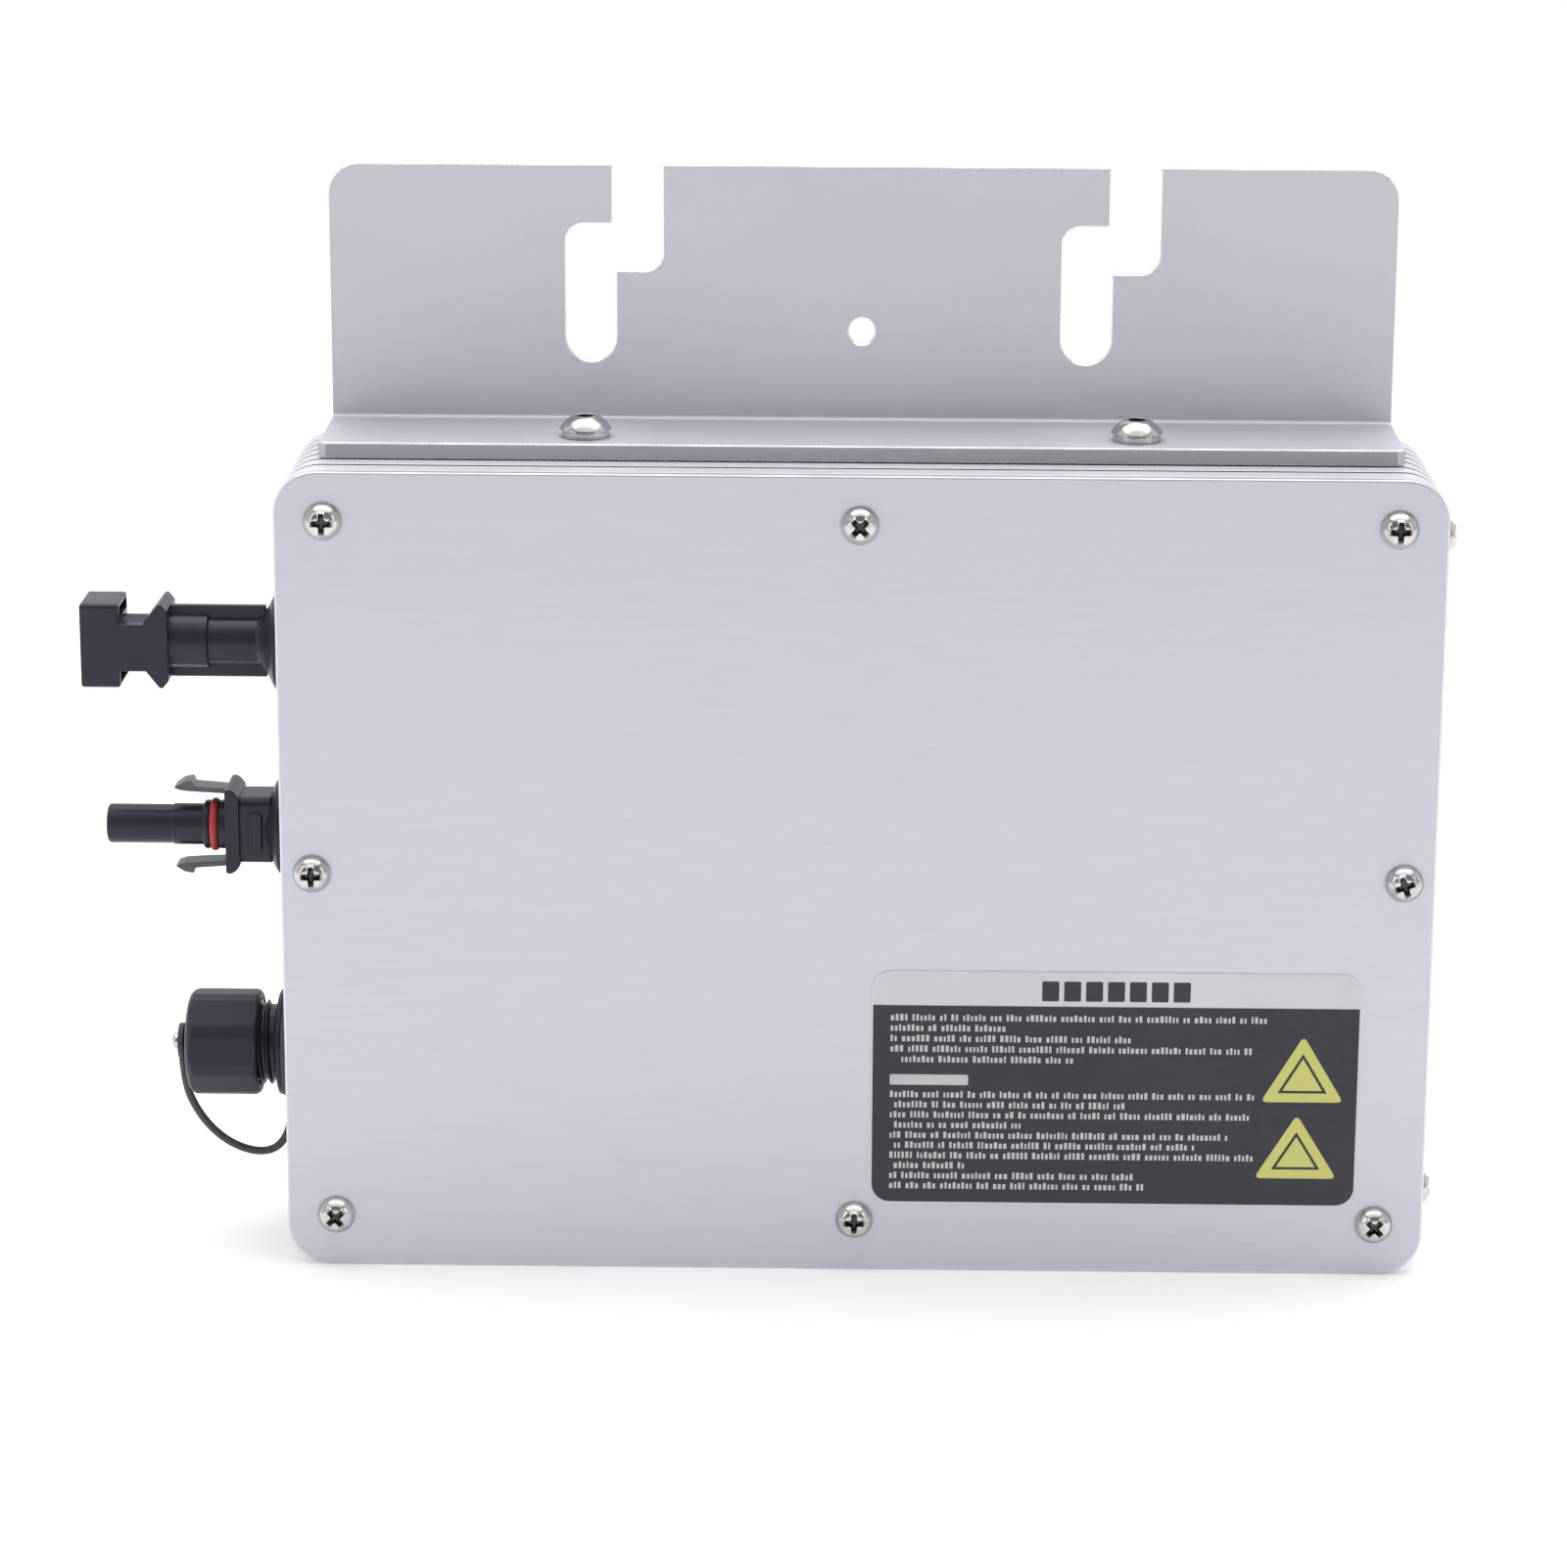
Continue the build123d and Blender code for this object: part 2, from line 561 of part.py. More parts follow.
def cap_swivel_screw():
    """The small screw on which the tether's eyelet swivels."""
    screw = [(-128.4, 0), (-128.4, 0.7), (-128.1, 1.3), (-127.2, 1.5), (-127.2, 1.0),
             (-124.1, 1.0), (-124.1, 0)]
    return turned_x(screw, AC_HEIGHT)


def tether_eyelet():
    """The outer end of the tether, turning on the swivel screw."""
    outer = -127.2 + RUNNING_GAP
    inner = -126.0 - RUNNING_GAP
    eyelet = rod_x(outer, inner, EYELET_RADIUS, AC_HEIGHT)
    return eyelet - rod_x(outer, inner, 1.0 + RUNNING_GAP, AC_HEIGHT)


def tether_ring():
    """The inner end of the tether, held between the socket's flange and the gasket."""
    outer = -SIDE - 2 * SEAL_THICKNESS
    ring = rod_x(outer, -SIDE - SEAL_THICKNESS, 10.2, AC_HEIGHT)
    return ring - rod_x(outer, -SIDE - SEAL_THICKNESS, AC_STUB_RADIUS + RUNNING_GAP, AC_HEIGHT)


def tether_cord():
    """The thin strap that hangs in a bow between the eyelet and the ring."""
    route = [(-126.6, 0, 33.25), (-126.3, 0, 28.4), (-124.6, 0, 23.9), (-121.9, 0, 19.9),
             (-118.2, 0, 16.7), (-113.6, 0, 14.9), (-109.6, 0, 15.3), (-107.1, 0, 18.4),
             (-106.4, 0, 22.4), (-106.3, 0, 26.5)]
    return lead(route, TETHER_RADIUS)


# ---- circuit ----

def main_board():
    """The circuit board, parallel to the covers."""
    board = block(BOARD_LEFT, BOARD_RIGHT, BOARD_FRONT, BOARD_FRONT + BOARD_THICKNESS,
                  BOARD_BOTTOM, BOARD_TOP)
    for x, z in STANDOFF_SPOTS:
        board -= rod_y(BOARD_FRONT, BOARD_FRONT + BOARD_THICKNESS, BOARD_SCREW_RADIUS + 0.1, x, z)
    return board


def board_standoffs():
    """The posts between the board and the rear cover."""
    back = BOARD_FRONT + BOARD_THICKNESS
    post_radius = 3.5
    bore = BOARD_SCREW_RADIUS + RUNNING_GAP
    return [rod_y(back, RING_BACK, post_radius, x, z) - rod_y(back, back + 5, bore, x, z)
            for x, z in STANDOFF_SPOTS]


def board_screws():
    """The screws that hold the board to its posts."""
    head_height = 2.0
    head_radius = 2.8
    return [rod_y(BOARD_FRONT - head_height, BOARD_FRONT, head_radius, x, z)
            + rod_y(BOARD_FRONT, BOARD_FRONT + 6, BOARD_SCREW_RADIUS, x, z)
            for x, z in STANDOFF_SPOTS]


TRANSFORMER_SPOTS = [(-30.0, 108.0), (20.0, 108.0)]


def transformer_cores():
    """Two ferrite cores, each a frame around a middle leg."""
    cores = []
    for x, z in TRANSFORMER_SPOTS:
        core = block(x - 18, x + 18, -12, 8.6, z - 17, z + 17)
        core -= block(x - 11.5, x + 11.5, -12, 8.6, z - 11.5, z + 11.5)
        core += block(x - 11.5, x + 11.5, -6, 2, z - 5.5, z + 5.5)
        cores.append(core)
    return cores


def transformer_windings():
    """The windings around the middle legs."""
    windings = []
    for x, z in TRANSFORMER_SPOTS:
        outer = block(x - 11.3, x + 11.3, -10.5, 6.5, z - 10.5, z + 10.5)
        inner = block(x - 11.3, x + 11.3, -6.2, 2.2, z - 5.7, z + 5.7)
        windings.append(fillet(outer.edges().filter_by(Axis.X), 3) - inner)
    return windings


def input_capacitors():
    """Four electrolytic capacitors standing on the board."""
    return [rod_y(-14, BOARD_FRONT, 8.0, -57.0, z) for z in (59.0, 76.0, 93.0, 110.0)]


def film_capacitors():
    """Two box-shaped film capacitors."""
    return [block(46, 72, -8, BOARD_FRONT, z - 5.5, z + 5.5) for z in (96.0, 112.0)]


CHOKE_X = 20.0
CHOKE_Z = 50.0
CHOKE_CORE_INNER = 7.0
CHOKE_CORE_OUTER = 13.0


def choke_core():
    """The toroidal core of the output choke."""
    ring = rod_y(-6, 4, CHOKE_CORE_OUTER, CHOKE_X, CHOKE_Z)
    return ring - rod_y(-6, 4, CHOKE_CORE_INNER, CHOKE_X, CHOKE_Z)


def choke_winding():
    """Turns of thick wire around the core."""
    wire = 1.6
    turn = block(CHOKE_CORE_INNER - 1.9, CHOKE_CORE_OUTER + 1.9, -wire / 2, wire / 2, -7, 7)
    turn -= block(CHOKE_CORE_INNER - 0.2, CHOKE_CORE_OUTER + 0.2, -wire / 2, wire / 2, -5.2, 5.2)
    upright = Rot(90, 0, 0) * turn
    count = 12
    return [Pos(CHOKE_X, -1, CHOKE_Z) * Rot(0, 360 / count * number, 0) * upright
            for number in range(count)]


def output_relays():
    """Two relays in line with the AC output."""
    return [block(-36, -18, -7, BOARD_FRONT, z - 8, z + 8) for z in (36.0, 56.0)]


FUSE_RADIUS = 2.6
FUSE_Y = 2.0
FUSE_HEIGHT = 46.0


def fuse():
    """The fuse's glass-and-cap body."""
    return rod_x(-72, -50, FUSE_RADIUS, FUSE_HEIGHT, FUSE_Y)


def fuse_clips():
    """The two clips that hold the fuse on the board."""
    clips = []
    for x in (-70.0, -54.0):
        clip = block(x, x + 3, -1.5, BOARD_FRONT, FUSE_HEIGHT - 4, FUSE_HEIGHT + 4)
        clips.append(clip - rod_x(x, x + 3, FUSE_RADIUS + RUNNING_GAP, FUSE_HEIGHT, FUSE_Y))
    return clips


def control_board():
    """The small upright board that carries the processor."""
    return block(50, 51.6, -14, 6.1, 24, 72)


def control_header():
    """The pin strip between the two boards."""
    return block(49, 52.6, 6.1, BOARD_FRONT, 26, 70)


def control_chip():
    """The processor."""
    return block(51.6, 53.2, -9, 1, 40, 52)


TERMINAL_HEIGHTS = (33.0, 28.0, 23.0)
TERMINAL_Y = 3.0
AC_LEAD_RADIUS = 1.5


def terminal_block():
    """The three-way terminal block of the AC leads."""
    housing = block(-70, -52, -2, BOARD_FRONT, 20, 36)
    for z in TERMINAL_HEIGHTS:
        housing -= rod_x(-70, -60, AC_LEAD_RADIUS + 0.2, z, y=TERMINAL_Y)
    return housing


def ac_leads():
    """Three insulated leads from the contact pins to the terminal block."""
    leads = []
    for (y, z), end_z in zip(ac_pin_spots(), TERMINAL_HEIGHTS):
        route = [(-88.0, y, z), (-82.0, y, z), (-76.0, TERMINAL_Y, end_z), (-60.0, TERMINAL_Y, end_z)]
        leads.append(lead(route, AC_LEAD_RADIUS))
    return leads


def dc_lead(height, end_z):
    """One insulated lead from a DC contact to its solder pad."""
    route = [(-88.0, 0, height), (-80.0, 0, height), (-74.0, 4.0, end_z), (-74.0, BOARD_FRONT, end_z)]
    return lead(route, 2.2)


# The stack on the right-hand wall, from the wall inwards.
BAR_FACE = INNER_SIDE - 4.0
PAD_FACE = BAR_FACE - 0.4
PACKAGE_FACE = PAD_FACE - 4.5
CLAMP_FACE = PACKAGE_FACE - 1.5
TRANSISTOR_HEIGHTS = (50.0, 62.0, 74.0, 86.0, 98.0)
CLAMP_SCREW_HEIGHTS = (40.0, 110.0)
CLAMP_SCREW_RADIUS = 1.5


def heat_spreader():
    """The bar that carries heat from the transistors into the right-hand wall."""
    bar = block(BAR_FACE, INNER_SIDE, -12, 8, 9, 141)
    for height in SIDE_SCREW_HEIGHTS:
        bar -= rod_x(BAR_FACE, INNER_SIDE, PAN_SHANK + RUNNING_GAP, height, SIDE_SCREW_Y)
    for height in CLAMP_SCREW_HEIGHTS:
        bar -= rod_x(BAR_FACE, INNER_SIDE, CLAMP_SCREW_RADIUS + RUNNING_GAP, height)
    return bar


def thermal_pad():
    """The insulating pad between the transistors and the bar."""
    return block(PAD_FACE, BAR_FACE, -10, 8, 44, 104)


def power_transistors():
    """Five transistors with their legs in the board."""
    half_height = 5.0
    leg_pitch = 2.5
    half_leg = 0.4
    transistors = []
    for z in TRANSISTOR_HEIGHTS:
        package = block(PACKAGE_FACE, PAD_FACE, -8, 6, z - half_height, z + half_height)
        for leg in (z - leg_pitch, z, z + leg_pitch):
            package += block(PAD_FACE - 3.4, PAD_FACE - 2.6, 6, BOARD_FRONT, leg - half_leg, leg + half_leg)
        transistors.append(package)
    return transistors


def transistor_clamp():
    """The spring bar that presses the transistors against the bar."""
    clamp = block(CLAMP_FACE, PACKAGE_FACE, -4, 3, 36, 114)
    for height in CLAMP_SCREW_HEIGHTS:
        clamp -= rod_x(CLAMP_FACE, PACKAGE_FACE, CLAMP_SCREW_RADIUS + 0.1, height)
    return clamp


def clamp_screws():
    """The two screws of the clamp bar."""
    head_height = 2.0
    head_radius = 2.75
    return [rod_x(CLAMP_FACE - head_height, CLAMP_FACE, head_radius, z)
            + rod_x(CLAMP_FACE, INNER_SIDE, CLAMP_SCREW_RADIUS, z) for z in CLAMP_SCREW_HEIGHTS]


EARTH_X = -38.0
EARTH_SCREW_RADIUS = 2.0
LUG_THICKNESS = 1.0


def earth_lug():
    """The ring lug that bonds the housing."""
    lug = block(EARTH_X - 6, EARTH_X + 6, -4, 4, WALL, WALL + LUG_THICKNESS)
    return lug - rod_z(WALL, WALL + LUG_THICKNESS, EARTH_SCREW_RADIUS + RUNNING_GAP, EARTH_X, 0)


def earth_screw():
    """The screw of the earth lug, in the bottom wall."""
    under_head = WALL + LUG_THICKNESS
    head = rod_z(under_head, under_head + 2, 3.4, EARTH_X, 0)
    return head + rod_z(WALL, under_head, EARTH_SCREW_RADIUS, EARTH_X, 0)


def build():
    """Every sub-part, by its node's name."""
    return {
        "housing_ring": housing_ring(),
        "front_cover": cover(-1),
        "rear_cover": cover(1),
        "front_gasket": gasket(-1),
        "rear_gasket": gasket(1),
        "front_cover_screws": cover_screws(-1),
        "rear_cover_screws": cover_screws(1),
        "side_screws": side_screws(),
        "info_label": info_label(),
        "mounting_bracket": mounting_bracket(),
        "bracket_screws": bracket_screws(),
        "bracket_spring_washers": bracket_spring_washers(),
        "upper_dc_shell": upper_dc_shell(),
        "upper_dc_contact": upper_dc_contact(),
        "upper_dc_seal": panel_seal(UPPER_DC_HEIGHT),
        "upper_dc_nut": panel_nut(UPPER_DC_HEIGHT, DC_STUB_RADIUS, 16.0),
        "lower_dc_shell": lower_dc_shell(),
        "lower_dc_contact": lower_dc_contact(),
        "lower_dc_oring": lower_dc_oring(),
        "lower_dc_seal": panel_seal(LOWER_DC_HEIGHT),
        "lower_dc_nut": panel_nut(LOWER_DC_HEIGHT, DC_STUB_RADIUS, 16.0),
        "latch_finger_upper": latch_finger(1),
        "latch_finger_lower": latch_finger(-1),
        "ac_socket_body": ac_socket_body(),
        "ac_insert": ac_insert(),
        "ac_contact_pins": ac_contact_pins(),
        "ac_panel_gasket": ac_panel_gasket(),
        "ac_panel_nut": panel_nut(AC_HEIGHT, AC_STUB_RADIUS, 21.0),
        "ac_cap": ac_cap(),
        "cap_seal": cap_seal(),
        "cap_swivel_screw": cap_swivel_screw(),
        "tether_eyelet": tether_eyelet(),
        "tether_cord": tether_cord(),
        "tether_ring": tether_ring(),
        "main_board": main_board(),
        "board_standoffs": board_standoffs(),
        "board_screws": board_screws(),
        "transformer_cores": transformer_cores(),
        "transformer_windings": transformer_windings(),
        "input_capacitors": input_capacitors(),
        "film_capacitors": film_capacitors(),
        "choke_core": choke_core(),
        "choke_winding": choke_winding(),
        "output_relays": output_relays(),
        "fuse": fuse(),
        "fuse_clips": fuse_clips(),
        "control_board": control_board(),
        "control_header": control_header(),
        "control_chip": control_chip(),
        "terminal_block": terminal_block(),
        "ac_leads": ac_leads(),
        "dc_lead_positive": dc_lead(UPPER_DC_HEIGHT, 104.0),
        "dc_lead_negative": dc_lead(LOWER_DC_HEIGHT, 76.0),
        "heat_spreader": heat_spreader(),
        "thermal_pad": thermal_pad(),
        "power_transistors": power_transistors(),
        "transistor_clamp": transistor_clamp(),
        "clamp_screws": clamp_screws(),
        "earth_lug": earth_lug(),
        "earth_screw": earth_screw(),
    }


os.makedirs("parts", exist_ok=True)
for node, shape in build().items():
    whole = Compound(children=shape) if isinstance(shape, list) else shape
    export_step(whole, f"parts/{node}.step")
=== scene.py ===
"""The looks of the micro inverter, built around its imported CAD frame."""

import json
import random
from math import atan2, cos, pi, radians, sin, sqrt, tan

import bmesh
import bpy
from mathutils import Matrix, Vector


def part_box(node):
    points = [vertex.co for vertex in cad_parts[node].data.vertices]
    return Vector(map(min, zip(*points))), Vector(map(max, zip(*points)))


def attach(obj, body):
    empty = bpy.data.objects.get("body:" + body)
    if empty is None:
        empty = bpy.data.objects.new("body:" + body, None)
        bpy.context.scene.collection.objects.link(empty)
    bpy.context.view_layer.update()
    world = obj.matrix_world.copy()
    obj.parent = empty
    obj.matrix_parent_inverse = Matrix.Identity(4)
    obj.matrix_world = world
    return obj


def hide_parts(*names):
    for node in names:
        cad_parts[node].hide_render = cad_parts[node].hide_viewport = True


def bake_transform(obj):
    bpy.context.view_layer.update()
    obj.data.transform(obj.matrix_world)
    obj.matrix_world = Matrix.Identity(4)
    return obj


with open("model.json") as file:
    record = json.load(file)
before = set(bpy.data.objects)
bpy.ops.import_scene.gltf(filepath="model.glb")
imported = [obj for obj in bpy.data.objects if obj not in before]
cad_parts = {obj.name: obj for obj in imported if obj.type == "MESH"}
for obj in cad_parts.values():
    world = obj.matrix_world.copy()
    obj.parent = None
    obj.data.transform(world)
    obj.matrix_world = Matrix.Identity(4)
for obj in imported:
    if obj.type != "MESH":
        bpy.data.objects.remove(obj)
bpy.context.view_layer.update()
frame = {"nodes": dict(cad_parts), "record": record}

# Shapes are worked out in millimetres and become metres where a mesh is made.
MM = 0.001
HOUSING = "housing"


def node_box(node):
    """Lowest and highest corner of a CAD node, in millimetres."""
    low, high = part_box(node)
    return low / MM, high / MM


# ---- camera ----

CAMERA_PLACE = (0.0, -0.8711, 0.3236)
CAMERA_PITCH = 0.2643
CAMERA_YAW = -0.0158
CAMERA_ROLL = 0.0047


def make_camera():
    """The camera of the photograph, a little above the object and square to its front."""
    data = bpy.data.cameras.new("photo_camera")
    data.sensor_width = 36.0
    data.lens = 112.0
    data.clip_end = 30.0
    camera = bpy.data.objects.new("photo_camera", data)
    turn = Matrix.Rotation(-CAMERA_YAW, 4, "Z")
    tilt = Matrix.Rotation(pi / 2 - CAMERA_PITCH, 4, "X")
    roll = Matrix.Rotation(CAMERA_ROLL, 4, "Z")
    camera.matrix_world = Matrix.Translation(CAMERA_PLACE) @ turn @ tilt @ roll
    bpy.context.scene.collection.objects.link(camera)
    bpy.context.scene.camera = camera


# ---- mesh tools ----

def link_mesh(name, bm, smooth_angle=38.0):
    """An object made from a bmesh, smooth but for its sharp edges."""
    bmesh.ops.recalc_face_normals(bm, faces=bm.faces)
    if bm.calc_volume(signed=True) < 0:
        bmesh.ops.reverse_faces(bm, faces=bm.faces)
    mesh = bpy.data.meshes.new(name)
    bm.to_mesh(mesh)
    bm.free()
    obj = bpy.data.objects.new(name, mesh)
    bpy.context.scene.collection.objects.link(obj)
    shade(obj, smooth_angle)
    return obj


def shade(obj, smooth_angle=38.0):
    """Smooth shading that keeps edges sharper than the angle."""
    obj.data.shade_smooth()
    obj.data.set_sharp_from_angle(angle=radians(smooth_angle))


def even_normals(obj):
    """Keeps flat faces flat where they meet a rounded edge."""
    modifier = obj.modifiers.new("even_normals", "WEIGHTED_NORMAL")
    modifier.keep_sharp = True
    modifier.weight = 60
    return obj


def finish_piece(obj, slot, *nodes, body=HOUSING, materials=()):
    """Gives a piece its materials, the slot's own unless others are given, and its body, and hides
    the CAD nodes that it stands for.
    """
    indices = [face.material_index for face in obj.data.polygons]
    obj.data.materials.clear()
    for name in materials or (slot,):
        obj.data.materials.append(MATERIALS[name])
    if len(materials) > 1:
        obj.data.polygons.foreach_set("material_index", indices)
    if nodes:
        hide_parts(*nodes)
    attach(obj, body)


def weld(mesh, reach=4e-6):
    """Closes up the slivers that a join leaves along its seams."""
    bm = bmesh.new()
    bm.from_mesh(mesh)
    bmesh.ops.remove_doubles(bm, verts=bm.verts, dist=reach)
    bmesh.ops.dissolve_degenerate(bm, edges=bm.edges, dist=reach)
    seen = {}
    for face in bm.faces:
        seen.setdefault(frozenset(face.verts), []).append(face)
    doubled = [face for faces in seen.values() if len(faces) > 1 for face in faces]
    bmesh.ops.delete(bm, geom=doubled, context="FACES")
    loose = [vert for vert in bm.verts if not vert.link_faces]
    bmesh.ops.delete(bm, geom=loose, context="VERTS")
    bm.to_mesh(mesh)
    bm.free()


def combine(base, others, operation):
    """Joins the others to the base, or cuts them from it; the others are used up."""
    for other in others:
        modifier = base.modifiers.new("combine", "BOOLEAN")
        modifier.operation = operation
        modifier.solver = "MANIFOLD"
        modifier.object = other
    graph = bpy.context.evaluated_depsgraph_get()
    result = bpy.data.meshes.new_from_object(base.evaluated_get(graph))
    base.modifiers.clear()
    weld(result)
    base.data = result
    for other in others:
        bpy.data.objects.remove(other)
    shade(base)


def ring_verts(bm, points):
    """One ring of vertices, or a single one where all points fall together."""
    if max((point - points[0]).length for point in points) < 1e-6:
        points = points[:1]
    return [bm.verts.new(point) for point in points]


def loft(bm, rings, closed=False, material=0):
    """Skins a row of rings; ends are capped unless the row closes on itself."""
    made = [ring_verts(bm, ring) for ring in rings]
    pairs = list(zip(made, made[1:]))
    if closed:
        pairs.append((made[-1], made[0]))
    for first, second in pairs:
        count = max(len(first), len(second))
        for i in range(count):
            j = (i + 1) % count
            if len(first) == 1:
                corners = (first[0], second[j], second[i])
            elif len(second) == 1:
                corners = (first[i], first[j], second[0])
            else:
                corners = (first[i], first[j], second[j], second[i])
            bm.faces.new(corners).material_index = material
    if not closed:
        for ring in (made[0], made[-1]):
            if len(ring) > 1:
                bm.faces.new(ring).material_index = material


def placed(place, x, y, z):
    """A point of a local frame, in metres."""
    return place @ Vector((x * MM, y * MM, z * MM))


def frame_matrix(across, up, along, origin=(0, 0, 0)):
    """The matrix whose columns are three directions, with its origin in millimetres."""
    columns = Matrix((across, up, along)).transposed().to_4x4()
    return Matrix.Translation(Vector(origin) * MM) @ columns


def along_x(z, y=0.0):
    """Local Z runs along X, local X along Y and local Y along Z."""
    return frame_matrix((0, 1, 0), (0, 0, 1), (1, 0, 0), (0, y, z))


SIDE_VIEW = frame_matrix((1, 0, 0), (0, 0, 1), (0, -1, 0))
TOP_VIEW = Matrix.Identity(4)


def circle_angles(segments):
    """Even angles round a full turn."""
    return [2 * pi * i / segments for i in range(segments)]


def polar(place, radius, angle, height):
    """A point at a radius and an angle about the local Z, in metres."""
    return placed(place, radius * cos(angle), radius * sin(angle), height)


def round_rings(place, profile, segments):
    """Round rings about the local Z; the profile holds (height, radius) pairs."""
    angles = circle_angles(segments)
    return [[polar(place, radius, angle, height) for angle in angles] for height, radius in profile]


def turned(bm, profile, place, segments=72, closed=False, material=0):
    """A solid turned about the local Z; the profile holds (height, radius) pairs."""
    loft(bm, round_rings(place, profile, segments), closed, material)


def round_corners(points, reach, steps=4, closed=True):
    """The outline with each corner rounded, as far as its two runs allow."""
    result = []
    last = len(points) - 1
    for i, corner in enumerate(points):
        if not closed and i in (0, last):
            result.append(tuple(corner))
            continue
        here = Vector(corner)
        before = Vector(points[i - 1]) - here
        after = Vector(points[(i + 1) % len(points)]) - here
        cut = min(reach, 0.45 * before.length, 0.45 * after.length)
        start = here + before.normalized() * cut
        end = here + after.normalized() * cut
        for step in range(steps + 1):
            t = step / steps
            point = start * (1 - t) ** 2 + here * 2 * t * (1 - t) + end * t ** 2
            result.append((point.x, point.y))
    return result


def signed_area(points):
    """Positive for an outline that runs counter-clockwise."""
    pairs = zip(points, points[1:] + points[:1])
    return sum(a[0] * b[1] - b[0] * a[1] for a, b in pairs) / 2


def inset_outline(points, amount):
    """A counter-clockwise outline moved inwards by an amount."""
    moved = []
    for i, point in enumerate(points):
        here = Vector(point)
        first = (here - Vector(points[i - 1])).normalized()
        second = (Vector(points[(i + 1) % len(points)]) - here).normalized()
        normal = Vector((-first.y, first.x))
        bisector = (normal + Vector((-second.y, second.x))).normalized()
        stretch = 1 / max(0.5, bisector.dot(normal))
        moved.append(here + bisector * amount * stretch)
    return moved


def prism(bm, outline, low, high, place, edge=0.25, steps=3, rim_material=0, wall_material=None):
    """A closed solid between two heights of the local Z, with rounded rims."""
    if wall_material is None:
        wall_material = rim_material
    points = list(outline)
    if signed_area(points) < 0:
        points.reverse()
    levels = []
    for step in range(steps + 1):
        turn = pi / 2 * step / steps
        levels.append((edge * (1 - cos(turn)), edge * (1 - sin(turn))))
    heights = [(low + rise, inset) for rise, inset in levels]
    heights += [(high - rise, inset) for rise, inset in reversed(levels)]
    rings = []
    for height, inset in heights:
        rings.append([placed(place, p[0], p[1], height) for p in inset_outline(points, inset)])
    before = len(bm.faces)
    loft(bm, rings)
    bm.faces.ensure_lookup_table()
    count = len(points)
    for index in range(len(heights) - 1):
        for face in bm.faces[before + index * count:before + (index + 1) * count]:
            face.material_index = wall_material if index == steps else rim_material


def rectangle(x0, x1, y0, y1):
    """The four corners of a rectangle."""
    return [(x0, y0), (x1, y0), (x1, y1), (x0, y1)]


def quarter(x, y, radius, start, steps):
    """Points on a quarter circle about (x, y), from an angle in degrees."""
    angles = [radians(start + 90 * step / steps) for step in range(steps + 1)]
    return [(x + radius * cos(angle), y + radius * sin(angle)) for angle in angles]


def rounded_rectangle(x0, x1, y0, y1, radius, steps):
    """A rectangle whose corners are true arcs."""
    centres = [(x1 - radius, y0 + radius, -90), (x1 - radius, y1 - radius, 0),
               (x0 + radius, y1 - radius, 90), (x0 + radius, y0 + radius, 180)]
    return [point for x, y, start in centres for point in quarter(x, y, radius, start, steps)]


def eased(bm, profile, place, segments=72, reach=0.25, steps=3):
    """A turned solid with the corners of its profile rounded."""
    turned(bm, round_corners(profile, reach, steps, closed=False), place, segments)


def solid(name, build, *values, smooth_angle=38.0, materials=(), **named):
    """An object from one function that fills a bmesh, called with the values given."""
    bm = bmesh.new()
    build(bm, *values, **named)
    obj = link_mesh(name, bm, smooth_angle)
    for material in materials:
        obj.data.materials.append(MATERIALS[material])
    return obj


def part(build, *values, **named):
    """A solid that is soon joined to another or cut from it."""
    return solid("part", build, *values, **named)


# ---- material tools ----

MATERIALS = {}


def add_node(tree, kind, inputs, **settings):
    """A shader node with its settings; each input gets a fixed value or a socket to follow."""
    node = tree.nodes.new("ShaderNode" + kind)
    for key, value in settings.items():
        setattr(node, key, value)
    for key, value in inputs.items():
        if isinstance(value, bpy.types.NodeSocket):
            tree.links.new(value, node.inputs[key])
        else:
            node.inputs[key].default_value = value
    return node


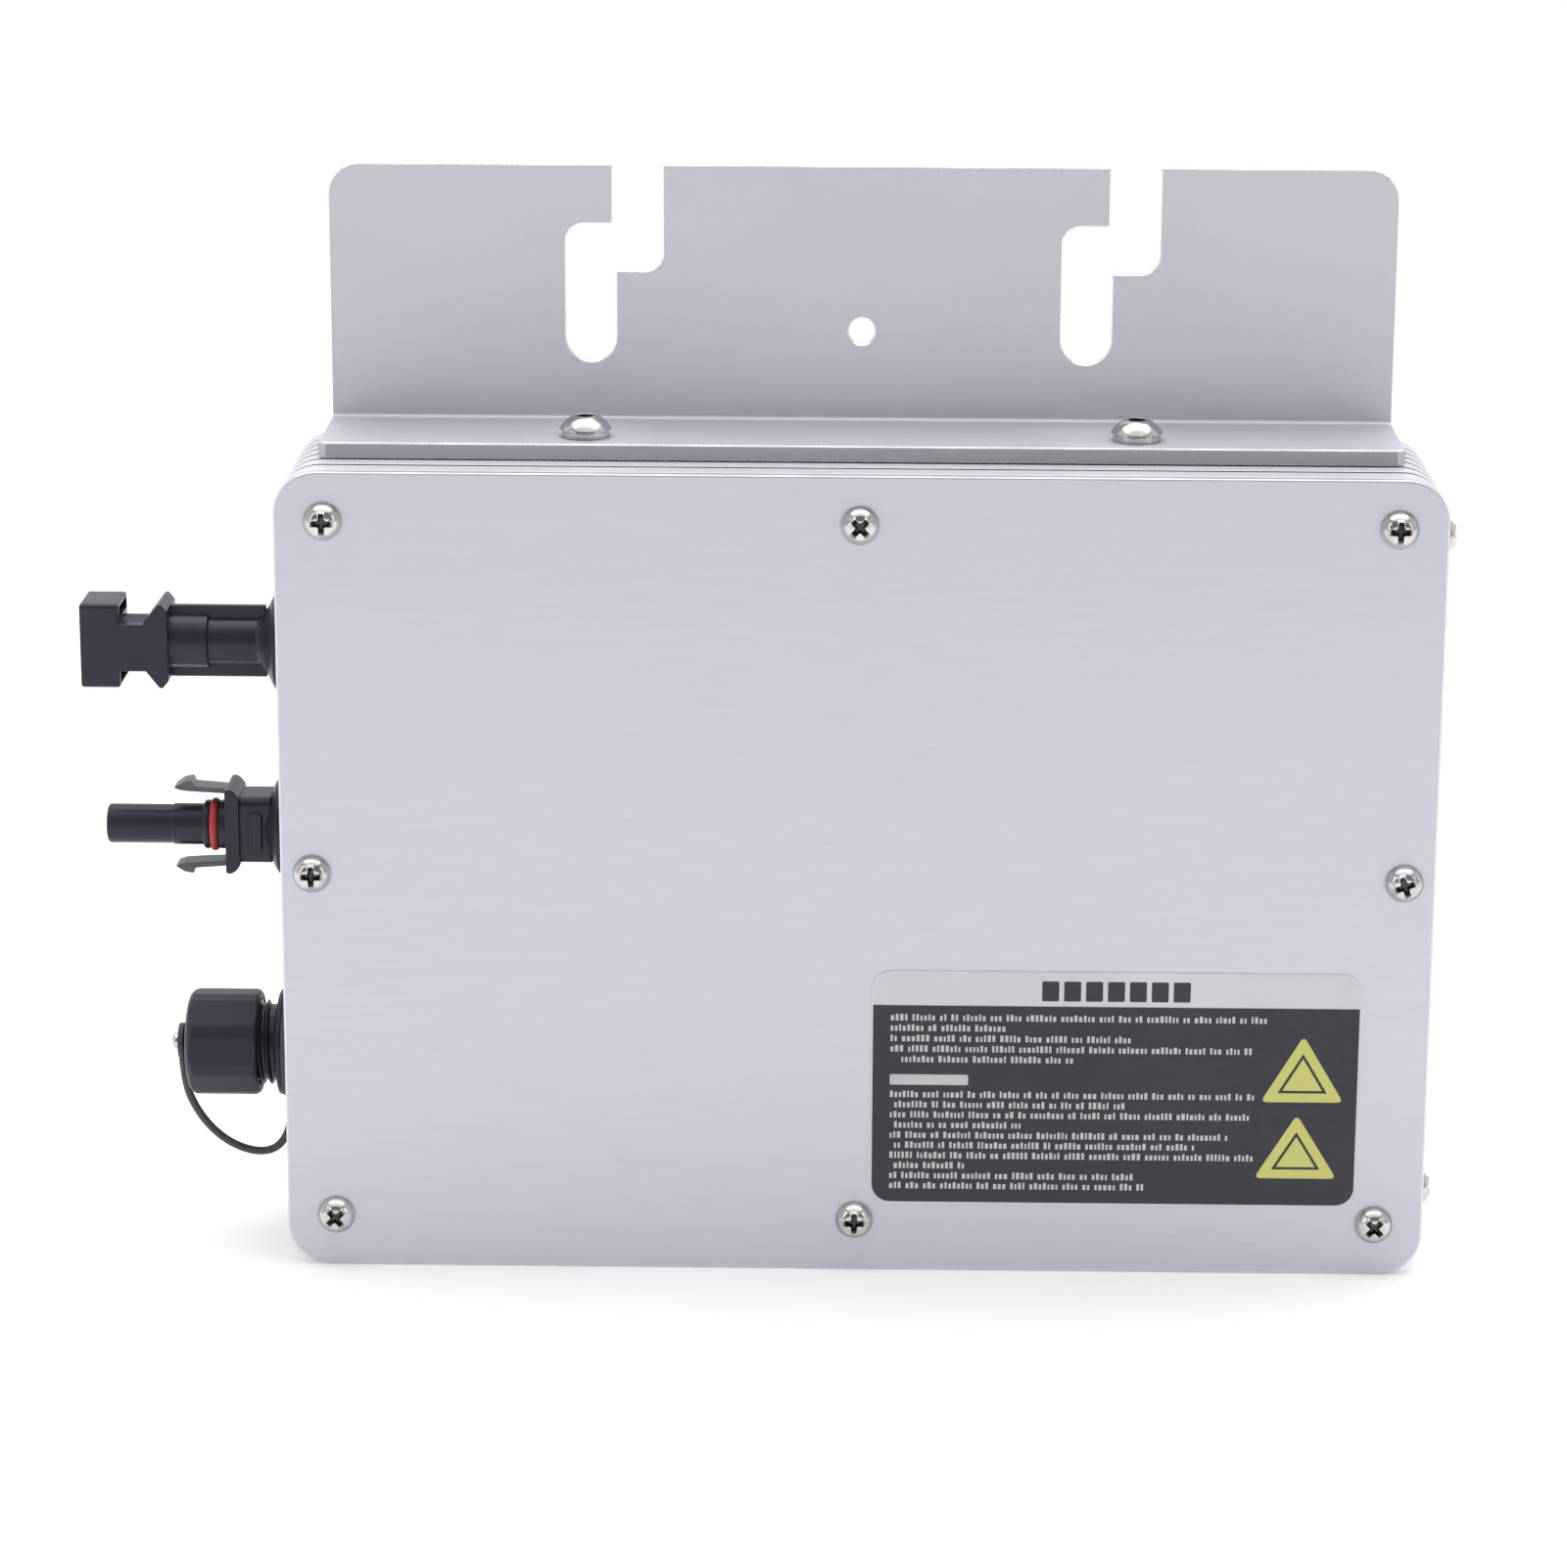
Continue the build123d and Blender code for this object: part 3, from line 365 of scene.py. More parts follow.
class Finish:
    """One material with its texture space, built step by step and kept in MATERIALS."""

    def __init__(self, name, **sockets):
        material = bpy.data.materials.new(name)
        MATERIALS[name] = material
        material.use_nodes = True
        self.tree = material.node_tree
        self.surface = self.tree.nodes["Principled BSDF"]
        self.space = add_node(self.tree, "TexCoord", {}).outputs["Object"]
        for socket, value in sockets.items():
            self.surface.inputs[socket.replace("_", " ")].default_value = value

    def drive(self, socket, value):
        """Lets a socket of the shader follow a value."""
        self.tree.links.new(value, self.surface.inputs[socket])

    def noise(self, per_metre, detail=3.0, roughness=0.55):
        """Noise with its own number of features per metre along each axis."""
        mapping = add_node(self.tree, "Mapping", {"Scale": per_metre, "Vector": self.space})
        return add_node(self.tree, "TexNoise", {
            "Scale": 1.0, "Detail": detail, "Roughness": roughness,
            "Vector": mapping.outputs["Vector"]}).outputs["Fac"]

    def spots(self, per_metre, low, high):
        """A mask of small scattered specks."""
        voronoi = add_node(self.tree, "TexVoronoi", {"Scale": per_metre, "Vector": self.space})
        return self.remap(voronoi.outputs["Distance"], low, high, 1.0, 0.0)

    def remap(self, value, low, high, new_low, new_high):
        """A value moved from one range to another, and held inside it."""
        return add_node(self.tree, "MapRange", {
            "From Min": low, "From Max": high, "To Min": new_low, "To Max": new_high,
            "Value": value}).outputs["Result"]

    def combined(self, operation, first, second):
        """Two values put together by one arithmetic step; the second may be a number."""
        node = add_node(self.tree, "Math", {0: first, 1: second}, operation=operation)
        return node.outputs["Value"]

    def weighted(self, first, share, second, rest):
        """Two values added together in given shares."""
        return self.combined("ADD", self.combined("MULTIPLY", first, share),
                             self.combined("MULTIPLY", second, rest))

    def colour(self, factor, first, second):
        """The base colour, from a first colour, or the result of an earlier call, to a second."""
        if isinstance(first, tuple):
            first = (*first, 1)
        mix = add_node(self.tree, "Mix", {"Factor": factor, 6: first, 7: (*second, 1)},
                       data_type="RGBA")
        self.drive("Base Color", mix.outputs[2])
        return mix.outputs[2]

    def roughness(self, value, low, high):
        """Roughness that follows a value."""
        self.drive("Roughness", self.remap(value, 0.3, 0.7, low, high))

    def bump(self, *layers):
        """Surface relief; each layer is (height value, depth in metres)."""
        normal = {}
        for height, depth in layers:
            inputs = {"Strength": 1.0, "Distance": depth, "Height": height, **normal}
            normal = {"Normal": add_node(self.tree, "Bump", inputs).outputs["Normal"]}
        self.drive("Normal", normal["Normal"])


def brushed_metal(name, dark, light, rough):
    """Aluminium brushed along X: long fine lines with a few brighter ones."""
    relief = 2.5e-6
    finish = Finish(name, Metallic=0.85)
    broad = finish.noise((14, 30, 520), 4.0)
    streaks = finish.noise((60, 150, 1900), 4.0, 0.65)
    hairs = finish.noise((140, 400, 4600), 3.0, 0.7)
    cloud = finish.noise((7, 7, 7), 2.0)
    tone = finish.weighted(streaks, 0.85, broad, 0.15)
    base = finish.colour(finish.remap(tone, 0.34, 0.66, 0, 1), dark, light)
    finish.colour(finish.remap(cloud, 0.35, 0.75, 0.0, 0.25), base, light)
    finish.roughness(streaks, *rough)
    finish.bump((streaks, relief * 2), (hairs, relief))


def satin_metal(name, dark, light, rough, lines=True, metallic=0.8):
    """Matt anodised aluminium with a fine blasted grain and faint drawing lines."""
    grain = 1900
    relief = 5e-6
    finish = Finish(name, Metallic=metallic)
    grains = finish.noise((grain, grain, grain), 3.0, 0.6)
    cloud = finish.noise((16, 30, 22), 4.0)
    drawn = finish.noise((12, 900, 900), 3.0, 0.6) if lines else cloud
    tone = finish.weighted(cloud, 0.6, grains, 0.4)
    base = finish.colour(finish.remap(tone, 0.38, 0.62, 0, 1), dark, light)
    finish.colour(finish.spots(420, 0.06, 0.10), base, light)
    finish.roughness(grains, *rough)
    finish.bump((drawn, relief * 0.6), (grains, relief))


def polished_metal(name, dark, light, rough=(0.14, 0.3)):
    """Bright stainless or plated metal with smudges and fine scratches."""
    finish = Finish(name, Metallic=1.0)
    smudge = finish.noise((260, 260, 260), 4.0)
    scratch = finish.noise((900, 9000, 2600), 2.0)
    finish.colour(finish.remap(smudge, 0.35, 0.65, 0, 1), dark, light)
    finish.roughness(smudge, *rough)
    finish.bump((scratch, 6e-7), (smudge, 3e-6))


def moulded_plastic(name, dark, light, rough=(0.28, 0.42), grain=2600, relief=5e-6, **sockets):
    """Moulded plastic: fine texture, faint flow marks and a little dust."""
    finish = Finish(name, Metallic=0.0, **sockets)
    texture = finish.noise((grain, grain, grain), 3.0, 0.6)
    flow = finish.noise((60, 190, 190), 4.0)
    base = finish.colour(finish.remap(flow, 0.32, 0.68, 0, 1), dark, light)
    dust = finish.combined("MULTIPLY", finish.spots(900, 0.04, 0.10),
                           finish.remap(flow, 0.5, 0.7, 0.0, 0.6))
    finish.colour(dust, base, tuple(min(1.0, channel * 2.2 + 0.02) for channel in light))
    finish.roughness(finish.weighted(texture, 0.5, flow, 0.5), *rough)
    finish.bump((flow, relief * 2), (texture, relief))


def printed_ink(name, dark, light):
    """Screen-printed ink or foil with a faint orange-peel surface."""
    finish = Finish(name, Metallic=0.0)
    peel = finish.noise((700, 700, 700), 2.0)
    wash = finish.noise((30, 30, 30), 4.0)
    finish.colour(finish.remap(wash, 0.3, 0.7, 0, 1), dark, light)
    finish.roughness(peel, 0.35, 0.5)
    finish.bump((peel, 4e-6))


GLOSS = {"Specular IOR Level": 0.34, "Specular Tint": (0.82, 0.82, 1.0, 1)}

brushed_metal("brushed_plate", (0.565, 0.565, 0.635), (0.61, 0.61, 0.685), (0.40, 0.50))
satin_metal("anodised_frame", (0.68, 0.68, 0.735), (0.75, 0.75, 0.80),
            (0.38, 0.5), lines=False, metallic=0.45)
satin_metal("anodised_bracket", (0.60, 0.60, 0.66), (0.65, 0.65, 0.71),
            (0.48, 0.60), metallic=0.66)
# The rim colour is a painted highlight along the bracket's eased edges.
satin_metal("rim_painted_highlight", (0.82, 0.82, 0.86), (0.93, 0.93, 0.96), (0.22, 0.34))
# The groove colour is painted shade: the ring's grooves are darkened by colour.
satin_metal("groove_painted_shade", (0.15, 0.15, 0.165), (0.21, 0.21, 0.23), (0.5, 0.6), lines=False)
# The cover rim colour is a painted highlight along the covers' eased edges.
satin_metal("cover_rim_painted_highlight", (0.62, 0.62, 0.68), (0.68, 0.68, 0.74), (0.32, 0.42))
satin_metal("sawn_edge", (0.42, 0.42, 0.45), (0.48, 0.48, 0.515), (0.4, 0.54))
satin_metal("aluminium_bar", (0.55, 0.55, 0.57), (0.70, 0.70, 0.72), (0.32, 0.48))
for settings in (
    ("bright_screw", (0.50, 0.49, 0.485), (0.62, 0.61, 0.605), (0.14, 0.22)),
    # The recess colour is painted shade for the hollow of each screw head.
    ("recess_painted_shade", (0.05, 0.046, 0.042), (0.13, 0.12, 0.11), (0.35, 0.5)),
    ("spring_steel", (0.40, 0.40, 0.41), (0.62, 0.61, 0.61), (0.22, 0.4)),
    ("tinned_contact", (0.55, 0.53, 0.50), (0.72, 0.70, 0.67), (0.2, 0.4)),
    ("brass_post", (0.55, 0.38, 0.14), (0.78, 0.58, 0.26)),
    ("copper_winding", (0.55, 0.22, 0.08), (0.80, 0.36, 0.16)),
    ("capacitor_can", (0.10, 0.11, 0.14), (0.18, 0.19, 0.23), (0.3, 0.5)),
):
    polished_metal(*settings)
for settings in (
    ("label_foil", (0.62, 0.62, 0.67), (0.68, 0.68, 0.73)),
    ("label_dark", (0.016, 0.016, 0.026), (0.024, 0.024, 0.036)),
    ("label_pale", (0.50, 0.50, 0.52), (0.60, 0.60, 0.62)),
    ("label_yellow", (0.56, 0.55, 0.14), (0.64, 0.63, 0.19)),
):
    printed_ink(*settings)
for settings in (
    ("black_shell", (0.019, 0.0195, 0.029), (0.027, 0.0275, 0.040), (0.26, 0.38)),
    # The latch colour is lighter than the shell, a painted sheen for the lit tops of the fingers.
    ("latch_painted_sheen", (0.095, 0.095, 0.115), (0.135, 0.135, 0.155), (0.26, 0.38)),
    ("black_cap", (0.022, 0.0225, 0.033), (0.030, 0.0305, 0.043), (0.38, 0.50)),
):
    moulded_plastic(*settings, **GLOSS)
for settings in (
    ("black_nut", (0.02, 0.02, 0.022), (0.035, 0.035, 0.038)),
    ("red_rubber", (0.36, 0.028, 0.034), (0.47, 0.045, 0.05), (0.38, 0.55), 1400, 8e-6),
    ("black_rubber", (0.055, 0.055, 0.064), (0.078, 0.078, 0.09), (0.5, 0.7), 1800, 8e-6),
    ("green_board", (0.01, 0.10, 0.04), (0.02, 0.17, 0.07), (0.3, 0.45)),
    ("grey_ferrite", (0.06, 0.06, 0.065), (0.11, 0.11, 0.12), (0.6, 0.8)),
    ("film_box", (0.55, 0.40, 0.05), (0.68, 0.50, 0.09)),
    ("relay_case", (0.02, 0.06, 0.22), (0.04, 0.09, 0.30)),
    ("fuse_glass", (0.62, 0.66, 0.64), (0.75, 0.78, 0.76), (0.05, 0.15)),
    ("black_package", (0.018, 0.018, 0.019), (0.03, 0.03, 0.032)),
    ("green_terminal", (0.02, 0.22, 0.08), (0.04, 0.32, 0.12)),
    ("black_wire", (0.015, 0.015, 0.016), (0.03, 0.03, 0.032)),
    ("red_wire", (0.38, 0.015, 0.015), (0.50, 0.03, 0.03)),
    ("grey_pad", (0.22, 0.23, 0.24), (0.32, 0.33, 0.34), (0.6, 0.8)),
):
    moulded_plastic(*settings)


def dress_cad_nodes():
    """Each carried-over CAD node takes the material of its slot in the record."""
    for part in frame["record"]["subparts"]:
        data = frame["nodes"][part["node"]].data
        data.materials.clear()
        data.materials.append(MATERIALS[part["material_slot"]])


# ---- cord ----

# The strap's route from the foot of the socket round to the eyelet, in millimetres.
TETHER_ROUTE = [(-106.3, 0, 26.5), (-106.4, 0, 22.4), (-107.1, 0, 18.4), (-109.6, 0, 15.3),
                (-113.6, 0, 14.9), (-118.2, 0, 16.7), (-121.9, 0, 19.9), (-124.6, 0, 23.9),
                (-126.3, 0, 28.4), (-126.6, 0, 33.25)]
TETHER_DIAMETER = 1.5


def spline_points(route):
    """Points along the smooth NURBS line through a route, in metres."""
    curve = bpy.data.curves.new("route", "CURVE")
    curve.dimensions = "3D"
    curve.resolution_u = 10
    spline = curve.splines.new("NURBS")
    spline.points.add(len(route) - 1)
    for point, place in zip(spline.points, route):
        point.co = (place[0] * MM, place[1] * MM, place[2] * MM, 1)
    spline.order_u = 3
    spline.use_endpoint_u = True
    carrier = bpy.data.objects.new("route", curve)
    line = bpy.data.meshes.new_from_object(carrier)
    points = [vertex.co.copy() for vertex in line.vertices]
    bpy.data.objects.remove(carrier)
    bpy.data.meshes.remove(line)
    return points


def make_tether():
    """The thin strap that keeps the dust cap with the socket."""
    points = spline_points(TETHER_ROUTE)
    radius = TETHER_DIAMETER / 2 * MM
    across = Vector((0, 1, 0))
    rings = []
    for i, point in enumerate(points):
        ahead = points[min(i + 1, len(points) - 1)]
        behind = points[max(i - 1, 0)]
        outward = (ahead - behind).normalized().cross(across)
        rings.append([point + across * radius * cos(angle) + outward * radius * sin(angle)
                      for angle in circle_angles(20)])
    bm = bmesh.new()
    loft(bm, rings)
    tether = link_mesh("tether_strap", bm, 60)
    tether.data.materials.append(MATERIALS["black_rubber"])
    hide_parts("tether_cord")
    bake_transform(tether)


# ---- housing ----

# The ring and the covers share one outline.
CORNER_RADIUS = 8.0
CORNER_STEPS = 14


def make_ring():
    """The grooved frame, with every fin tip and groove foot eased."""
    low, high = node_box("housing_ring")
    wall = 5.0
    grooves = 6
    half_groove = 0.6
    depth = 2.2
    tip = 0.16
    foot = 0.35
    steps = 4
    lip = 0.04
    outline = [(low.y, wall), (low.y, 0)]
    pitch = (high.y - low.y) / (grooves + 1)
    for number in range(1, grooves + 1):
        y = low.y + pitch * number
        outline += [(y - half_groove, 0), (y - half_groove, depth), (y + half_groove, depth),
                    (y + half_groove, 0)]
    outline += [(high.y, 0), (high.y, wall)]
    section = []
    for i, point in enumerate(outline):
        reach = foot if point[1] == depth else tip
        if point[1] == wall:
            section.append(point)
            continue
        before = outline[i - 1]
        after = outline[i + 1]
        section += round_corners([before, point, after], reach, steps, closed=False)[1:-1]
    rings = []
    for y, inset in section:
        points = rounded_rectangle(low.x + inset, high.x - inset, low.z + inset, high.z - inset,
                                   CORNER_RADIUS - inset, CORNER_STEPS)
        rings.append([Vector((x * MM, y * MM, z * MM)) for x, z in points])
    bm = bmesh.new()
    loft(bm, rings, closed=True)
    bm.faces.ensure_lookup_table()
    count = len(rings[0])
    # Every band of faces between the lips of a groove takes the dark groove material, painted shade
    # for the groove's depth.
    for band in range(len(section) - 1):
        insets = (section[band][1], section[band + 1][1])
        if min(insets) >= lip and max(insets) <= depth:
            for face in bm.faces[band * count:(band + 1) * count]:
                face.material_index = 1
    ring = even_normals(link_mesh("grooved_ring", bm, 50))
    finish_piece(ring, "anodised_frame", "housing_ring",
                 materials=("anodised_frame", "groove_painted_shade"))


def make_connector_pads():
    """The three round pads where the grooves stop under the connectors."""
    low, _ = node_box("housing_ring")
    pad_radius = 10.4
    bm = bmesh.new()
    for node in ("upper_dc_seal", "lower_dc_seal", "ac_panel_gasket"):
        seal_low, seal_high = node_box(node)
        height = (seal_low.z + seal_high.z) / 2
        face = low.x + 0.03
        back = face + 3.5
        eased(bm, [(face, 0), (face, pad_radius), (back, pad_radius), (back, 0)], along_x(height))
    finish_piece(even_normals(link_mesh("connector_pads", bm)), "anodised_frame")


def make_cover(node):
    """A cover plate with eased outer edges."""
    low, high = node_box(node)
    edge = 0.45
    outline = rounded_rectangle(low.x, high.x, low.z, high.z, CORNER_RADIUS, CORNER_STEPS)
    # The eased rims take a brighter material, a painted highlight.
    plate = solid(node + "_plate", prism, outline, -high.y, -low.y, SIDE_VIEW, edge, 5,
                  rim_material=1)
    finish_piece(even_normals(plate), "brushed_plate", node,
                 materials=("brushed_plate", "cover_rim_painted_highlight"))


def hook_corners(centre, top):
    """One hook slot as a run of (x, z, rounding), from its left side round to its right side."""
    half = 4.5
    offset = 4.3
    jog_low = 180.4
    jog_high = 189.1
    end = 168.1
    eased_corner = 0.5
    jog_corner = 3.2
    steps = 12
    left = centre - offset - half
    inner_left = centre - half + offset
    inner_right = centre + half - offset
    right = centre + offset + half
    corners = [(inner_left, top, eased_corner), (inner_left, jog_high, eased_corner),
               (left, jog_high, jog_corner)]
    for step in range(steps + 1):
        angle = pi + pi * step / steps
        corners.append((centre - offset + half * cos(angle), end + half * sin(angle), 0))
    corners += [(inner_right, jog_low, eased_corner), (right, jog_low, jog_corner),
                (right, top, eased_corner)]
    return corners


def bracket_outline(low, high):
    """The upright plate of the bracket, with its two hook slots."""
    corners = [(low.x, low.z, 0), (low.x, high.z, 6.0)]
    for centre in (-45.5, 45.5):
        corners += hook_corners(centre, high.z)
    corners += [(high.x, high.z, 6.0), (high.x, low.z, 0)]
    points = []
    steps = 10
    for i, (x, z, radius) in enumerate(corners):
        if radius == 0:
            points.append((x, z))
            continue
        here = Vector((x, z))
        before = Vector(corners[i - 1][:2])
        after = Vector(corners[(i + 1) % len(corners)][:2])
        start = here + (before - here).normalized() * radius
        end = here + (after - here).normalized() * radius
        centre = start + end - here
        first = atan2(start.y - centre.y, start.x - centre.x)
        turn = atan2(end.y - centre.y, end.x - centre.x) - first
        turn = (turn + pi) % (2 * pi) - pi
        for step in range(steps + 1):
            angle = first + turn * step / steps
            points.append((centre.x + radius * cos(angle),
                           centre.y + radius * sin(angle)))
    return points


def make_bracket():
    """The angle bracket: an upright slotted plate and a foot, in one piece."""
    low, high = node_box("mounting_bracket")
    thick = 3.0
    plate_front = high.y - thick
    foot_top = low.z + thick
    edge = 0.3
    chamfer = 1.5
    foot = [(low.x, high.y), (low.x, low.y + chamfer), (low.x + chamfer, low.y),
            (high.x - chamfer, low.y), (high.x, low.y + chamfer), (high.x, high.y)]
    cove = 0.9
    buried = 0.5
    steps = 6
    section = [(plate_front + buried, foot_top - buried), (plate_front + buried, foot_top + cove)]
    for step in range(steps + 1):
        angle = pi / 2 * step / steps
        section.append((plate_front - cove + cove * cos(angle),
                        foot_top + cove - cove * sin(angle)))
    section.append((plate_front - cove, foot_top - buried))
    lock_height = 169.6
    radius = 2.4
    flare = 0.3
    place = frame_matrix((1, 0, 0), (0, 0, -1), (0, 1, 0), (0, 0, lock_height))
    mouth = radius + 1 + flare
    hole = [(plate_front - 1, 0), (plate_front - 1, mouth), (plate_front + flare, radius),
            (high.y - flare, radius), (high.y + 1, mouth), (high.y + 1, 0)]

    # The rims of both plates carry a painted highlight in their colour, and the foot's sawn walls
    # are darker.
    finish = ("anodised_bracket", "rim_painted_highlight", "sawn_edge")
    bracket = solid("angle_bracket", prism, bracket_outline(low, high), -high.y, -plate_front,
                    SIDE_VIEW, edge, rim_material=1, materials=finish)
    combine(bracket, [
        part(prism, foot, low.z, foot_top, TOP_VIEW, edge, rim_material=1, wall_material=2,
             materials=finish),
        part(prism, section, low.x + edge, high.x - edge, along_x(0), 0.02, 1, materials=finish),
    ], "UNION")
    combine(bracket, [part(turned, hole, place, 48, material=1, materials=finish)], "DIFFERENCE")
    finish_piece(even_normals(bracket), "anodised_bracket", "mounting_bracket", materials=finish)


# ---- screws ----

def soft_least(first, second, softness):
    """The lesser of two numbers, rounded where they cross."""
    gap = max(softness - abs(first - second), 0.0) / softness
    return min(first, second) - gap * gap * softness / 4


def cross_radius(angle, half_width, half_length):
    """How far a rounded cross reaches from its centre at an angle."""
    fold = (angle + pi / 4) % (pi / 2) - pi / 4
    side = max(half_width / max(abs(sin(fold)), 1e-4), half_width * 1.75)
    tip = half_length / cos(fold)
    return soft_least(min(side, half_length * 3), tip, 0.5) + 0.05


def hexagon_radius(angle, half_flats):
    """How far a hexagon reaches from its centre at an angle."""
    fold = (angle + pi / 6) % (pi / 3) - pi / 6
    return half_flats / cos(fold)


def star_rings(place, reach, levels, segments):
    """Rings that follow a star outline; each level is (scale of the outline, growth, height)."""
    angles = circle_angles(segments)
    return [[polar(place, reach(angle) * scale + growth, angle, height) for angle in angles]
            for scale, growth, height in levels]


def crown_height(radius, rim, rim_height, top):
    """Height of a spherical crown that starts at the rim and peaks on the axis."""
    rise = top - rim_height
    sphere = (rim * rim + rise * rise) / (2 * rise)
    return top - sphere + sqrt(sphere * sphere - radius * radius)


def add_screw(bm, place, reach, depth, rim, rim_height, top, land, taper, shank):
    """A domed screw head with a recess; the recess faces take the second material, a dark painted
    shade.
    """
    segments = 96
    edge = 0.12

    def dome(radius):
        return crown_height(max(radius, land), rim, rim_height, top)

    floor = top - depth
    widest = max(reach(angle) for angle in circle_angles(segments))
    crown = widest + edge + 0.12
    recess = [(0.0, 0.0, floor - 0.15), (taper, 0.0, floor),
              (1 - (1 - taper) * 0.3, 0.0, top - depth * 0.3),
              (1.0, 0.0, dome(widest * 0.8) - edge), (1.0, edge, dome(widest * 0.9))]
    rings = star_rings(place, reach, recess, segments)
    profile = [(dome(crown), crown)]
    steps = 9
    for step in range(1, steps + 1):
        radius = crown + (rim - crown) * sin(pi / 2 * step / steps)
        profile.append((dome(radius), radius))
    profile += [(rim_height * 0.6, rim + 0.02), (0.12, rim), (0.0, rim - 0.12), (0.0, shank),
                (-1.6, shank), (-1.6, 0.0)]
    rings += round_rings(place, profile, segments)
    before = len(bm.faces)
    loft(bm, rings)
    bm.faces.ensure_lookup_table()
    for face in bm.faces[before:before + segments * 3]:
        face.material_index = 1


def add_pan_screw(bm, place):
    """A pan head with a cross recess."""
    add_screw(bm, place, lambda angle: cross_radius(angle, 0.52, 1.85), 1.35,
              rim=3.48, rim_height=0.5, top=2.84, land=0.0, taper=0.55, shank=1.7)


def add_button_screw(bm, place):
    """A button head with a hexagon socket."""
    add_screw(bm, place, lambda angle: hexagon_radius(angle, 1.5), 1.6,
              rim=4.7, rim_height=0.25, top=2.95, land=2.2, taper=0.97, shank=2.4)


def screw_place(origin, normal, across, turn):
    """A frame whose Z is the way the head faces."""
    along = Vector(normal)
    first = Matrix.Rotation(radians(turn), 3, along) @ Vector(across)
    return frame_matrix(first, along.cross(first), along, origin)


# Each cover screw is (x, z, turn of its cross in degrees).
COVER_SCREWS = [(-96, 141, 0), (0, 141, 45), (96, 141, 0), (-99.2, 75.5, 0), (99.2, 75.5, 20),
                (-96, 9.8, 40), (0, 9.8, 0), (96, 9.8, 45)]
BUTTON_SCREWS = (-50.0, 50.0)


def make_screw_set(name, node, add, places):
    """One piece with a screw head at each of its places."""
    bm = bmesh.new()
    for place in places:
        add(bm, screw_place(*place))
    # The recess faces take the dark material, painted shade.
    finish_piece(link_mesh(name, bm, 42), "bright_screw", node,
                 materials=("bright_screw", "recess_painted_shade"))


def make_screws():
    """All screw heads that show."""
    front, _ = node_box("front_cover")
    _, rear = node_box("rear_cover")
    for side, y, outward in (("front", front.y, -1), ("rear", rear.y, 1)):
        make_screw_set(side + "_cover_screw_heads", side + "_cover_screws", add_pan_screw,
                       [((x, y, z), (0, outward, 0), (1, 0, 0), turn)
                        for x, z, turn in COVER_SCREWS])
    _, ring = node_box("housing_ring")
    make_screw_set("side_screw_heads", "side_screws", add_pan_screw,
                   [((ring.x, -8.0, z), (1, 0, 0), (0, 1, 0), 10) for z in (13.0, 137.5)])
    _, washer = node_box("bracket_spring_washers")
    make_screw_set("bracket_screw_heads", "bracket_screws", add_button_screw,
                   [((x, 0, washer.z), (0, 0, 1), (1, 0, 0), 8) for x in BUTTON_SCREWS])


def make_spring_washers():
    """Split washers: an open coil of rounded square wire."""
    low, high = node_box("bracket_spring_washers")
    section = round_corners(rectangle(2.65, 4.35, low.z, high.z), 0.22, 3)
    steps = 64
    first = 100 + 6
    sweep = 348
    bm = bmesh.new()
    for x in BUTTON_SCREWS:
        rings = []
        for step in range(steps + 1):
            angle = radians(first + sweep * step / steps)
            rings.append([Vector(((x + r * cos(angle)) * MM, r * sin(angle) * MM, z * MM))
                          for r, z in section])
        loft(bm, rings)
    washers = even_normals(link_mesh("split_washers", bm))
    finish_piece(washers, "spring_steel", "bracket_spring_washers")


# ---- label ----

LABEL_CORNER = 3.7


def label_frame():
    """The label's left edge, top edge, front face and size."""
    low, high = node_box("info_label")
    return low.x, high.z, low.y, high.x - low.x, high.z - low.z


def add_print(bm, outline, layer, thickness=0.03, edge=0.01):
    """A thin printed area; its outline is measured from the label's top left corner."""
    left, top, face, _, _ = label_frame()
    points = [(left + x, top - y) for x, y in outline]
    front = -face + layer * thickness
    prism(bm, points, front - 0.02, front + thickness, SIDE_VIEW, edge, 1)


def greeked_row(bm, rng, start, end, middle, height):
    """A row of plain upright ticks in groups, standing in for a line of print."""
    x = start
    while x < end:
        for _ in range(rng.randint(2, 8)):
            width = rng.uniform(0.34, 0.62)
            if x + width > end:
                return
            tall = height * rng.choice((1.0, 1.0, 0.78, 0.78, 0.78))
            base = middle + height / 2
            add_print(bm, rectangle(x, x + width, base - tall, base), 1)
            x += width + 0.30
        x += 0.62


def triangle(middle, top, base, half_width, shrink):
    """A triangle with its point up, pulled in evenly by an amount."""
    lean = atan2(half_width, base - top)
    drop = shrink / sin(lean)
    foot = base - shrink
    reach = (foot - (top + drop)) * tan(lean)
    return [(middle, top + drop), (middle + reach, foot), (middle - reach, foot)]


